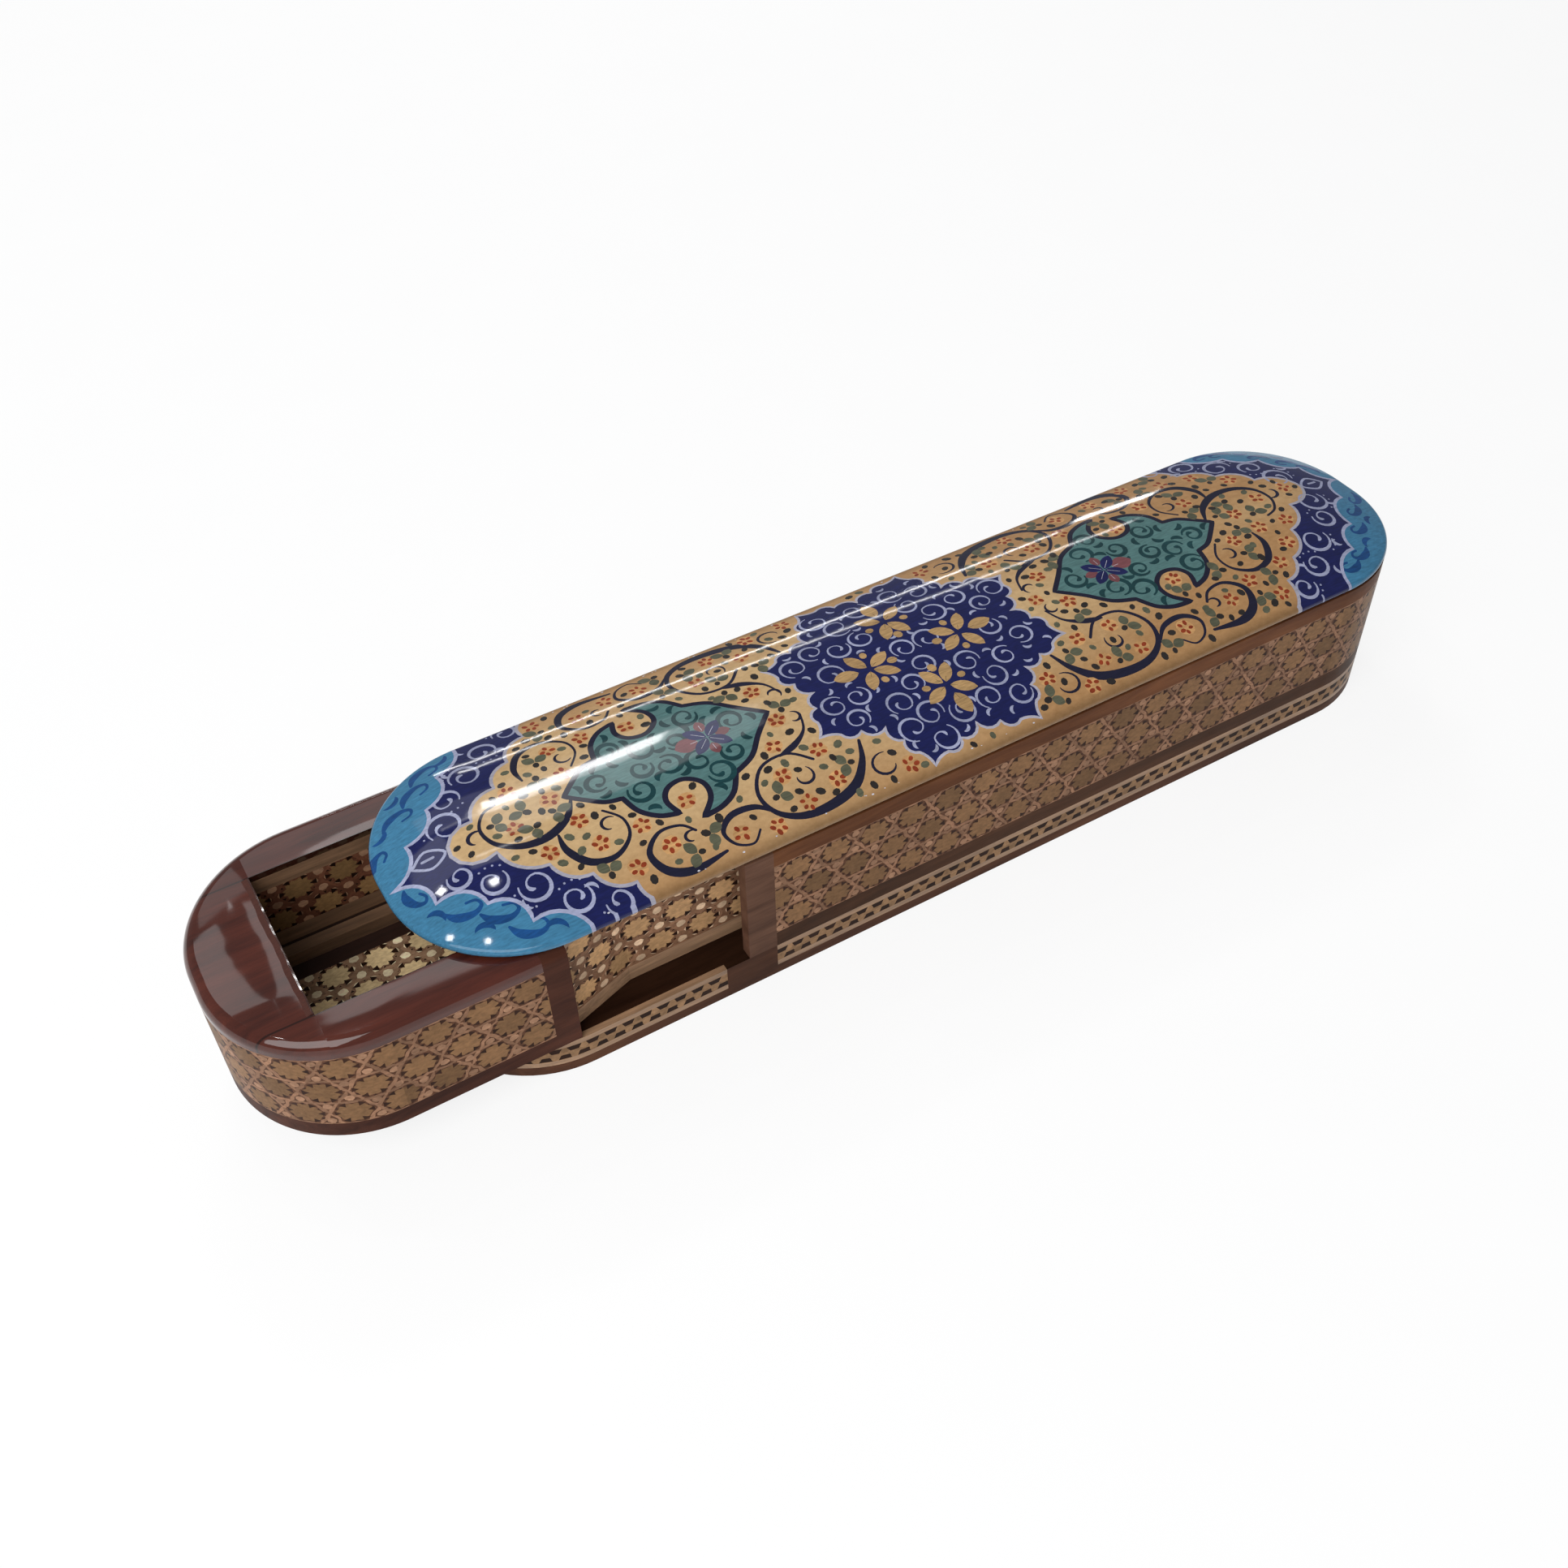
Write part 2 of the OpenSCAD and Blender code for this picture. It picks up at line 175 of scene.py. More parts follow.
class Drawing:
    """Flat shapes laid over each other, each with a paint; where they overlap the last one laid shows."""

    def __init__(self, grounds, paint):
        self.points = []
        self.faces = []
        self.paints = []
        self.tones = []
        for outline in grounds:
            self.lay(outline, paint, 0.5)
        self.grounds = len(grounds)

    def lay(self, outline, paint, tone=None):
        size = area(outline)
        if abs(size) < 1e-4:
            return
        first = len(self.points)
        self.points += outline if size > 0 else outline[::-1]
        self.faces.append(list(range(first, len(self.points))))
        self.paints.append(paint)
        self.tones.append(chance.random() if tone is None else tone)

    def brush(self, path, width, paint, shape="even", closed=False):
        """A stroke along the path; shape says how its width runs from start to end."""
        tone = chance.random()
        halves = []
        last = len(path) - 1
        for i in range(len(path)):
            halves.append(width / 2 * WIDTHS[shape](i / last))
        sides = []
        for i, (x, y) in enumerate(path):
            before = path[i - 1] if i > 0 or closed else path[i]
            after = path[(i + 1) % len(path)] if i < last or closed else path[i]
            dx, dy = after[0] - before[0], after[1] - before[1]
            length = math.hypot(dx, dy)
            nx, ny = -dy / length * halves[i], dx / length * halves[i]
            sides.append(((x + nx, y + ny), (x - nx, y - ny)))
        pairs = list(zip(sides, sides[1:] + sides[:1])) if closed else list(zip(sides, sides[1:]))
        for (a, b), (c, d) in pairs:
            for corner in ((a, b, d), (a, d, c)):
                self.lay(list(corner), paint, tone)
        if not closed:
            for end in (0, last):
                if halves[end] > 0.12:
                    self.lay(ring(path[end], halves[end], 10), paint, tone)

    def split(self, grid):
        """Cuts everything into triangles that each show one paint."""
        points = [Vector(p) for p in self.points + grid]
        corners, _, faces, _, _, sources = delaunay_2d_cdt(points, [], self.faces, 0, 1e-5)
        kept = []
        for face, above in zip(faces, sources):
            if above and min(above) < self.grounds:
                top = max(above)
                kept.append((list(face), self.paints[top], self.tones[top]))
        used = sorted({i for face, _, _ in kept for i in face})
        number = {old: new for new, old in enumerate(used)}
        renumbered = [([number[i] for i in face], paint, tone) for face, paint, tone in kept]
        return [tuple(corners[i]) for i in used], renumbered


WIDTHS = {
    "even": lambda t: 1.0,
    "tapered": lambda t: 0.25 + 0.75 * math.sin(math.pi * t) ** 0.8,
    "late": lambda t: 0.32 + 0.68 * math.sin(math.pi * t ** 2.2) ** 1.5,
    "early": lambda t: 0.32 + 0.68 * math.sin(math.pi * (1 - (1 - t) ** 2.2)) ** 1.5,
    "swelling": lambda t: (
        0.5 + 0.85 * math.sin(math.pi * t ** 0.6) ** 3 + 0.9 * math.exp(-((t - 0.93) / 0.07) ** 2)
    ),
    "petal": lambda t: 0.04 + 0.96 * math.sin(math.pi * t) ** 0.7,
}

# Materials


def linear(rgb):
    """Screen colour from 0 to 255 as the linear colour that a shader takes."""
    channels = []
    for level in rgb:
        c = level / 255
        channels.append(c / 12.92 if c <= 0.04045 else ((c + 0.055) / 1.055) ** 2.4)
    return channels + [1.0]


class Shader:
    """A material with one Principled shader and short ways to add nodes in front of it."""

    def __init__(self, name, rough, specular=0.5):
        self.material = bpy.data.materials.new(name)
        self.material.use_nodes = True
        self.tree = self.material.node_tree
        self.surface = self.tree.nodes["Principled BSDF"]
        self.set(self.surface, {"Roughness": rough, "Specular IOR Level": specular})
        self.place = self.add("TexCoord").outputs["Object"]

    def set(self, node, inputs):
        for key, value in inputs.items():
            if isinstance(value, bpy.types.NodeSocket):
                self.tree.links.new(value, node.inputs[key])
            else:
                node.inputs[key].default_value = value

    def add(self, kind, inputs=None, **settings):
        node = self.tree.nodes.new("ShaderNode" + kind)
        for key, value in settings.items():
            setattr(node, key, value)
        self.set(node, inputs or {})
        return node

    def stretched(self, scale):
        return self.add("Mapping", {"Vector": self.place, "Scale": scale}).outputs["Vector"]

    def noise(self, scale, detail=3.0, rough=0.55, stretch=None, twist=0.0):
        vector = self.stretched(stretch) if stretch else self.place
        kind = {"Scale": scale, "Detail": detail, "Roughness": rough, "Distortion": twist}
        return self.add("TexNoise", {"Vector": vector, **kind}).outputs["Fac"]

    def ramp(self, value, stops):
        """Colours or greys along a value; stops are (place, rgb 0-255 or grey 0-1)."""
        node = self.add("ValToRGB", {"Fac": value})
        marks = node.color_ramp.elements
        while len(marks) < len(stops):
            marks.new(0.5)
        for mark, (spot, colour) in zip(marks, stops):
            mark.position = spot
            mark.color = linear(colour) if isinstance(colour, tuple) else (colour, colour, colour, 1.0)
        return node.outputs["Color"]

    def mix(self, a, b, amount, blend="MIX"):
        inputs = {0: amount, 6: a, 7: b}
        return self.add("Mix", inputs, data_type="RGBA", blend_type=blend).outputs[2]

    def number(self, kind, a, b=0.0):
        return self.add("Math", {0: a, 1: b}, operation=kind).outputs["Value"]

    def axes(self, vector):
        return self.add("SeparateXYZ", {"Vector": vector}).outputs

    def spread(self, value, low, high, start=0.0, stop=1.0):
        """Runs from low to high while the value runs from start to stop."""
        limits = {"From Min": start, "From Max": stop, "To Min": low, "To Max": high}
        return self.add("MapRange", {"Value": value, **limits}).outputs["Result"]

    def tone(self, low, high):
        """Lightness that each piece of inlay or paint was given."""
        given = self.add("Attribute", attribute_name="tone").outputs["Fac"]
        return self.spread(given, low, high)

    def bump(self, height, depth, strength=1.0):
        inputs = {"Height": height, "Distance": depth * MM, "Strength": strength}
        self.set(self.surface, {"Normal": self.add("Bump", inputs).outputs["Normal"]})

    def finish(self, colour, rough=None):
        self.set(self.surface, {"Base Color": colour})
        if rough is not None:
            self.set(self.surface, {"Roughness": rough})
        return self.material


def shade(rgb, factor):
    return tuple(min(255, c * factor) for c in rgb)


def inlay(name, rgb):
    """Small slips of wood, bone or brass, rubbed down flush and thinly varnished; each differs a little."""
    return varnished(name, rgb, 0.11, (0.3, 0.5), 0.06, (900, 1600, 1600), (0.74, 1.22))


def varnished(
    name, rgb, streak=0.10, rough=(0.04, 0.08), gloss=0.3, grain=(400, 2200, 2200), tones=(0.88, 1.1),
):
    """Paint or inlay under varnish: streaks, blotches, a tone for each piece and a faintly wavy skin."""
    s = Shader(name, 0.15, gloss)
    streaks = s.noise(1.0, 4.0, 0.6, stretch=grain)
    colour = s.ramp(streaks, [(0.3, shade(rgb, 1 - streak)), (0.7, shade(rgb, 1 + streak))])
    blotch = s.spread(s.noise(140.0, 3.0), 0.86, 1.12)
    lightness = s.number("MULTIPLY", s.tone(*tones), blotch)
    colour = s.mix(colour, lightness, 1.0, "MULTIPLY")
    s.bump(s.noise(70.0, 4.0, 0.5), 0.1, 0.35)
    return s.finish(colour, s.spread(s.noise(260.0, 4.0), *rough))


def gold_ground():
    """Ochre ground, brushed on in streaks, browner to the long edges; painted shade browns it to the rear
    and darkens the edge where it curves down.
    """
    s = Shader("paint_ochre", 0.06, 0.3)
    streaks = s.noise(1.0, 5.0, 0.65, stretch=(620, 900, 900))
    pale = s.ramp(streaks, [(0.3, (180, 149, 107)), (0.7, (200, 168, 123))])
    brown = s.ramp(streaks, [(0.3, (158, 119, 77)), (0.7, (176, 135, 91))])
    place = s.axes(s.place)
    across = s.number("ABSOLUTE", place["Y"])
    cloud = s.spread(s.noise(60.0, 3.0), -7 * MM, 7 * MM)
    # Painted shade: the ground browns towards the rear, where the light falls off.
    rear = s.spread(place["X"], 0.0, 22 * MM, 0.0, 80 * MM)
    reach = s.number("ADD", s.number("ADD", across, cloud), rear)
    browned_and_shaded = s.mix(pale, brown, s.spread(reach, 0.0, 1.0, 13 * MM, 30 * MM))
    # Painted shade: the last two millimetres darken where the edge curves down.
    edge_painted_shade = s.spread(across, 1.0, 0.62, 26.2 * MM, 28.2 * MM)
    s.bump(s.noise(70.0, 4.0, 0.5), 0.1, 0.35)
    return s.finish(s.mix(browned_and_shaded, edge_painted_shade, 1.0, "MULTIPLY"), s.spread(s.noise(260.0, 4.0), 0.04, 0.08))


def lacquer_colour(s, dark, light):
    """Red-brown wood: figure, fine streaks and clouds."""
    figure = s.noise(1.0, 5.0, 0.6, stretch=(35, 260, 260), twist=0.6)
    fine = s.noise(1.0, 3.0, 0.7, stretch=(120, 2600, 2600))
    colour = s.ramp(figure, [(0.25, dark), (0.75, light)])
    colour = s.mix(colour, s.ramp(fine, [(0.3, 0.78), (0.7, 1.08)]), 0.7, "MULTIPLY")
    return s.mix(colour, s.ramp(s.noise(22.0, 3.0), [(0.3, 0.8), (0.7, 1.1)]), 1.0, "MULTIPLY")


def lacquer_wood(name, dark, light, top=1.0):
    """Wood under thin lacquer, rubbed to a low sheen; top darkens what faces up as painted shade."""
    s = Shader(name, 0.45, 0.06)
    colour = lacquer_colour(s, dark, light)
    # Painted shade: faces that look up are darkened by the factor top.
    if top < 1:
        up = s.axes(s.add("NewGeometry").outputs["Normal"])["Z"]
        colour = s.mix(colour, s.ramp(up, [(0.4, 1.0), (0.6, top)]), 1.0, "MULTIPLY")
    s.bump(s.noise(1.0, 1.5, 0.4, stretch=(28, 60, 60), twist=0.5), 0.1, 0.5)
    return s.finish(colour, s.spread(s.noise(300.0, 4.0), 0.35, 0.55))


def rim_lacquer(dark, light):
    """Thick glossy lacquer: it rises to the channel's front, falls off outwards, is dark in the joints."""
    s = Shader("rim_lacquer", 0.05, 0.5)
    place = s.axes(s.place)
    across = s.number("ABSOLUTE", place["Y"])
    from_joint = s.number("ABSOLUTE", s.number("SUBTRACT", across, CHANNEL_HALF * MM))
    in_joint = s.spread(from_joint, 0.3, 1.0, 0.1 * MM, 0.3 * MM)
    colour = s.mix(lacquer_colour(s, dark, light), in_joint, 1.0, "MULTIPLY")
    along = s.spread(place["X"], 0.0, 1.0, (-CORNER_X - PULL_OUT) * MM, (-HALF_L - PULL_OUT) * MM)
    aside = s.spread(across, 0.0, 1.0, CORNER_Y * MM, HALF_W * MM)
    squares = [s.number("POWER", part, 2.0) for part in (along, aside)]
    out = s.number("SQRT", s.number("ADD", *squares))
    fall = s.number("MULTIPLY", s.number("POWER", out, 4.0), -0.75)
    to_front = s.spread(place["X"], 0.0, 1.0, (CHANNEL_FRONT - 5) * MM, CHANNEL_FRONT * MM)
    swell = s.number("POWER", to_front, 2.0)
    ripple = s.noise(1.0, 1.5, 0.4, stretch=(16, 80, 80), twist=0.5)
    rise = s.number("MULTIPLY", s.number("ADD", swell, ripple), 0.25)
    s.bump(s.number("ADD", fall, rise), 1.0)
    return s.finish(colour, s.spread(s.noise(300.0, 4.0), 0.03, 0.07))


def plain_wood(name, rgb):
    s = Shader(name, 0.4, 0.4)
    grain = s.noise(1.0, 5.0, 0.65, stretch=(60, 900, 900), twist=0.4)
    colour = s.ramp(grain, [(0.3, shade(rgb, 0.84)), (0.7, shade(rgb, 1.16))])
    pores = s.ramp(s.noise(1.0, 3.0, 0.7, stretch=(260, 4200, 4200)), [(0.32, 0.72), (0.45, 1.0)])
    blotch = s.ramp(s.noise(45.0, 3.0), [(0.3, 0.85), (0.7, 1.08)])
    colour = s.mix(s.mix(colour, pores, 0.7, "MULTIPLY"), blotch, 1.0, "MULTIPLY")
    s.bump(grain, 0.06, 0.5)
    return s.finish(colour, s.spread(s.noise(300.0, 4.0), 0.3, 0.5))


# Red, green and blue of each paint, and how far its brush streaks go lighter and darker
PAINT_LOOKS = {
    "navy": (22, 27, 76, 0.12), "turquoise": (60, 116, 149, 0.10), "deep_blue": (22, 68, 120, 0.12),
    "teal": (79, 114, 113, 0.10), "deep_green": (20, 57, 61, 0.12), "lavender": (149, 153, 180, 0.10),
    "ink": (26, 26, 46, 0.10), "red": (132, 53, 27, 0.12), "blush": (187, 143, 94, 0.12),
    "halo": (164, 161, 174, 0.08), "rose": (112, 66, 70, 0.10), "olive": (84, 85, 68, 0.12),
    "soot": (42, 38, 36, 0.10), "gold": (166, 134, 91, 0.14), "white": (196, 196, 206, 0.06),
}
PAINT = {name: varnished("paint_" + name, look[:3], look[3]) for name, look in PAINT_LOOKS.items()}
PAINT["ochre"] = gold_ground()
PAINT["underside"] = plain_wood("lid_underside", (70, 44, 34))
INLAY_COLOURS = {
    "brass": (186, 146, 104), "bone": (214, 182, 150), "strap": (136, 100, 76), "ebony": (40, 21, 13),
    "ground": (114, 80, 60), "wall_brass": (126, 94, 65), "wall_strap": (141, 105, 81),
    "wall_ground": (94, 63, 46), "wall_dark": (54, 33, 23), "wall_dot": (151, 115, 90),
    "wall_triangle": (82, 53, 38), "border_pale": (144, 112, 82), "border_dark": (42, 23, 14),
}
INLAY = {name: inlay("inlay_" + name, rgb) for name, rgb in INLAY_COLOURS.items()}
# Darker copy of the inlay colours for the channel's lining: painted shade.
SHADED_LINING_COLOURS = {
    "brass": (128, 98, 64), "bone": (146, 112, 88), "strap": (96, 60, 44), "ebony": (26, 12, 8),
    "ground": (88, 52, 38),
}
# Lighter copy of the inlay colours for the channel's floor: painted light.
LIT_FLOOR_COLOURS = {
    "brass": (238, 204, 154), "bone": (248, 218, 180), "strap": (150, 118, 92), "ebony": (40, 24, 16),
    "ground": (128, 96, 74),
}
SHADED_LINING = {name: inlay("lining_" + name, rgb) for name, rgb in SHADED_LINING_COLOURS.items()}
LIT_FLOOR = {name: inlay("floor_" + name, rgb) for name, rgb in LIT_FLOOR_COLOURS.items()}
SLOT_MATERIAL = {
    "lacquered_wood": lacquer_wood("lacquered_wood", (48, 26, 20), (90, 52, 38)),
    "dark_wood": plain_wood("dark_wood", (44, 26, 20)),
    "pale_wood": plain_wood("pale_wood", (160, 126, 98)),
    "khatam": INLAY["ground"],
    "chequer": INLAY["border_pale"],
    "painted_lid": PAINT["ochre"],
}
# Start of a node's name, the only slot it holds for if there is one, and the material used there instead
OWN_MATERIAL = (
    ("rim_", None, rim_lacquer((54, 23, 17), (92, 42, 30))),
    # Upward faces darkened to 0.3 of the colour: painted shade in the case's opening.
    ("base_board", None, lacquer_wood("base_lacquer", (62, 36, 25), (102, 66, 46), 0.3)),
    ("case_lower_band", None, lacquer_wood("lower_lacquer", (52, 32, 20), (86, 56, 38))),
    ("case_upper_band", None, lacquer_wood("upper_lacquer", (77, 44, 27), (126, 80, 50))),
    ("lining_", "pale_wood", plain_wood("shaded_pale_wood", (118, 90, 68))),
    ("base_", "pale_wood", plain_wood("border_pale_wood", (150, 118, 90))),
    ("case_", "lacquered_wood", lacquer_wood("case_lacquer", (78, 52, 40), (122, 88, 70))),
)
BEAD_LACQUER = varnished("bead_lacquer", (70, 38, 30), 0.1, (0.05, 0.09), 0.5)
RIM_BEVEL = 0.4
CAP_BEVEL = 0.7


def node_material(node, slot):
    """The material of the part of the box that the piece belongs to, or else the slot's."""
    for start, only_slot, material in OWN_MATERIAL:
        if node.startswith(start) and only_slot in (None, slot):
            return material
    return SLOT_MATERIAL[slot]


for part in frame["record"]["subparts"]:
    holder = frame["nodes"][part["node"]]
    holder.data.materials.clear()
    holder.data.materials.append(node_material(part["node"], part["material_slot"]))
    if part["node"].startswith("rim_"):
        bevel = holder.modifiers.new("softened", "BEVEL")
        bevel.width = (CAP_BEVEL if part["node"] == "rim_head_cap" else RIM_BEVEL) * MM
        bevel.segments = 3
        bevel.limit_method = "ANGLE"
        bevel.angle_limit = math.radians(50)
        bevel.harden_normals = True

# Turning a drawing into a closed piece


def rim_loop(triangles):
    """Corners round the outside of the triangles in order, each with the paint of the edge after it."""
    after = {}
    for face, paint, tone in triangles:
        for a, b in zip(face, face[1:] + face[:1]):
            after[(a, b)] = (paint, tone)
    step = {a: (b, look) for (a, b), look in after.items() if (b, a) not in after}
    start = next(iter(step))
    loop = []
    here = start
    while True:
        there, look = step[here]
        loop.append((here, look))
        here = there
        if here == start:
            return loop


def add_object(name, data):
    holder = bpy.data.objects.new(name, data)
    bpy.context.scene.collection.objects.link(holder)
    return holder


def make_piece(name, points, faces, normals, palette, body, node=None):
    """Builds the mesh; faces are (corners, paint, tone, smooth), node is the one it takes the place of."""
    mesh = bpy.data.meshes.new(name)
    mesh.from_pydata([p * MM for p in points], [], [f[0] for f in faces])
    paints = sorted({f[1] for f in faces})
    for paint in paints:
        mesh.materials.append(palette[paint])
    mesh.polygons.foreach_set("material_index", [paints.index(f[1]) for f in faces])
    mesh.attributes.new("tone", "FLOAT", "FACE").data.foreach_set("value", [f[2] for f in faces])
    mesh.polygons.foreach_set("use_smooth", [True] * len(faces))
    loops = []
    for polygon, face in zip(mesh.polygons, faces):
        for corner in face[0]:
            loops.append(normals[corner] if face[3] else polygon.normal.copy())
    mesh.normals_split_custom_set(loops)
    piece = add_object(name, mesh)
    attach(piece, body)
    if node:
        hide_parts(node)


def grid_points(width, height, step, origin=(0, 0)):
    """Staggered points that keep the triangles small enough to follow a curve."""
    points = []
    rows = int(height / step)
    columns = int(width / step)
    for j in range(1, rows):
        for i in range(1, columns):
            shift = 0.25 if j % 2 else -0.25
            points.append((origin[0] + (i + shift) * width / columns, origin[1] + j * height / rows))
    return points


def mapped(corners, surface):
    """Points of a surface at flat places, and the ways it faces there."""
    pairs = [surface(*corner) for corner in corners]
    return [point for point, _ in pairs], [facing for _, facing in pairs]


def inlaid_panel(node, body, drawing, surface, depth, curved=False, grid=(), palette=INLAY):
    """A veneer whose face shows the drawing; surface(u, v, depth) gives a point and the way it faces."""
    corners, triangles = drawing.split(list(grid))
    points, normals = mapped(corners, surface)
    faces = [(face, paint, tone, curved) for face, paint, tone in triangles]
    loop = rim_loop(triangles)
    back = {}
    for corner, _ in loop:
        back[corner] = len(points)
        point, facing = surface(*corners[corner], depth)
        points.append(point)
        normals.append(-facing)
    plain = drawing.paints[0]
    for (a, _), (b, _) in zip(loop, loop[1:] + loop[:1]):
        faces.append(([b, a, back[a], back[b]], plain, 0.5, False))
    outline = [Vector(corners[corner]) for corner, _ in loop]
    _, _, rear, origin, _, _ = delaunay_2d_cdt(outline, [], [list(range(len(outline)))], 1, 1e-6)
    rear_corner = [back[loop[sources[0]][0]] for sources in origin]
    for face in rear:
        faces.append(([rear_corner[i] for i in reversed(face)], plain, 0.5, curved))
    make_piece("inlaid_" + node, points, faces, normals, palette, body, node)


# Painted lid


def dome(x, y):
    """Point of the lid's top over a place in plan, and the way it faces."""
    out = Vector((
        math.copysign(max(abs(x) - CORNER_X, 0), x),
        math.copysign(max(abs(y) - CORNER_Y, 0), y),
        0,
    ))
    run = min(out.length, DOME_RUN)
    rise = math.sqrt(DOME_R ** 2 - run ** 2)
    facing = Vector((out.x, out.y, rise)).normalized()
    return Vector((x, y, LID_Z + LID_H - DOME_R + rise)), facing


ARC_STEPS = 30
OUTLINE_STEP = 3.0


def stadium(run):
    """Rounded outline in plan at a run out from the corner centres, going round to the left."""
    points = []
    for turn, (sx, sy) in enumerate(((1, -1), (1, 1), (-1, 1), (-1, -1))):
        centre = (sx * CORNER_X, sy * CORNER_Y)
        for i in range(ARC_STEPS + 1):
            points.append(polar(centre, run, -90 + 90 * turn + 90 * i / ARC_STEPS))
        if turn % 2:
            count = int(2 * CORNER_X / OUTLINE_STEP)
            a = points[-1]
            for i in range(1, count):
                points.append((a[0] - math.copysign(2 * CORNER_X * i / count, a[0]), a[1]))
    return points


# Scalloped edges of the two ends: notches from the far side to the near side
TURQUOISE_EDGES = (
    [(-94.5, 29.5), (-100.5, 20.5), (-105.7, 12.3), (-112.5, 6), (-118.8, -1.8), (-112.8, -9.8),
     (-104.8, -15.4), (-99.2, -22.6), (-90, -29.5)],
    [(93, 29.5), (100.5, 21.5), (107, 16.5), (113.5, 9.5), (119, 2.5), (113, -5), (107, -14), (101.5, -20.5),
     (94, -29.5)],
)
OCHRE_EDGES = (
    [(-78, 29.5), (-81, 22.3), (-87.3, 15.7), (-92.6, 9.6), (-99.8, 3.6), (-98.8, -6.2), (-91.6, -13.6),
     (-85.4, -19), (-79, -24), (-75.5, -29.5)],
    [(80, 29.5), (86.5, 21.5), (92.5, 15.5), (98.5, 8.8), (106.5, 2), (98.5, -3), (92.5, -10), (87, -17),
     (81.5, -21.5), (76, -29.5)],
)
# Notches and leaf tips in turn, round a quarter of the star
STAR_QUARTER = [(24.4, 0), (30.2, 11.6), (17, 15.2), (12.9, 27.1), (0, 22.2)]
STAR_X = -1.9
# Reach of the flowers along and across, and where scrolls start to be squeezed and by how much
FIELD_END = 106
FIELD_HALF = 26.6
SQUEEZE_FROM = 19
SQUEEZE = 0.12
CARTOUCHE_HALF = [
    [(-37.3, 0), (-42, 4.6), (-46, 9), (-50.8, 11.2)],
    [(-50.8, 11.2), (-53.4, 15), (-57, 16.9), (-61.2, 17.4)],
    [(-61.2, 17.4), (-57.9, 14), (-57.6, 10.2), (-60.6, 7.6), (-64.2, 8.2), (-65.9, 11), (-64.9, 14.6)],
    [(-64.9, 14.6), (-68.6, 13.4), (-71.6, 10.4), (-72.8, 6.2)],
    [(-72.8, 6.2), (-76, 5.4), (-79, 3), (-82.2, 0)],
]


def jitter(amount):
    return chance.uniform(-amount, amount)


def star_outline():
    """Eight pointed leaves; two small lobes lead from each notch to the hollow side of a tip."""
    half = STAR_QUARTER + mirrored(STAR_QUARTER[:-1], flip_x=True)[::-1]
    around = half + mirrored(half[1:-1], flip_y=True)[::-1]
    path = []
    for i, (a, b) in enumerate(zip(around, around[1:] + around[:1])):
        if i % 2 == 0:
            parts, bulges = (0, 0.37, 0.68, 1), [-0.3, -0.3, 0.1]
        else:
            parts, bulges = (0, 0.32, 0.63, 1), [0.1, -0.3, -0.3]
        notches = [(a[0] + (b[0] - a[0]) * t + STAR_X, a[1] + (b[1] - a[1]) * t) for t in parts]
        path += scallops(notches, bulges, 5)[:-1]
    return path


def cartouche_outline():
    half = []
    for bend in CARTOUCHE_HALF:
        half += flowing(bend)[:-1]
    return half + [CARTOUCHE_HALF[-1][-1]] + mirrored(half[1:], flip_y=True)[::-1]


def inside(point, outline):
    x, y = point
    hit = False
    for (ax, ay), (bx, by) in zip(outline, outline[1:] + outline[:1]):
        if (ay > y) != (by > y) and x < ax + (y - ay) / (by - ay) * (bx - ax):
            hit = not hit
    return hit


def clear_of(point, paths, gap):
    return all((point[0] - x) ** 2 + (point[1] - y) ** 2 > gap * gap for x, y in paths)


def scatter(region, taken, gap, apart, tries, low, high):
    """Places inside a region, a gap clear of what is taken and further apart from each other."""
    found = []
    for _ in range(tries):
        spot = (chance.uniform(low[0], high[0]), chance.uniform(low[1], high[1]))
        if clear_of(spot, found, apart) and clear_of(spot, taken, gap) and region(spot):
            found.append(spot)
    taken += found
    return found


def curl(art, centre, size, paint, width, start=None, hand=None):
    """An open ring that hooks inwards and ends in a fat drop."""
    start = chance.uniform(0, 360) if start is None else start
    hand = chance.choice((-1, 1)) if hand is None else hand
    turn = hand * chance.uniform(250, 295)
    path = coil(centre, size, size * 0.84, start, turn, 16)
    inner = coil(centre, size * 0.84, size * 0.2, start + turn, hand * chance.uniform(120, 175), 8)
    art.brush(path + inner[1:], width, paint, "swelling")


def crescent(art, centre, size, paint, width, lean=None):
    """A fat bowed stroke, pointed at both ends, with its back towards lean."""
    lean = chance.uniform(0, 360) if lean is None else lean
    middle = polar(centre, -size * 0.75, lean)
    art.brush(coil(middle, size, size * 0.9, lean - 66, 132, 10), width, paint, "petal")


def hooked(art, centre, size, paint, width, lean, hand):
    """A fat bowed stroke with its back towards lean, whose thin end hooks back over it."""
    bow = ((-1, -0.05), (-0.5, 0.25), (0.1, 0.3), (0.7, 0.12), (1, -0.3), (0.7, -0.62), (0.15, -0.52))
    path = [polar(polar(centre, size * u, lean + 90 * hand), size * v, lean) for u, v in bow]
    art.brush(flowing(path), width, paint, "early")


def petal(art, root, inner, outer, wide, lean, paint):
    art.brush([polar(root, inner + (outer - inner) * i / 8, lean) for i in range(9)], wide, paint, "petal")


def vein(art, root, inner, outer, width, lean, paint):
    art.brush([polar(root, inner, lean), polar(root, outer, lean)], width, paint, "tapered")


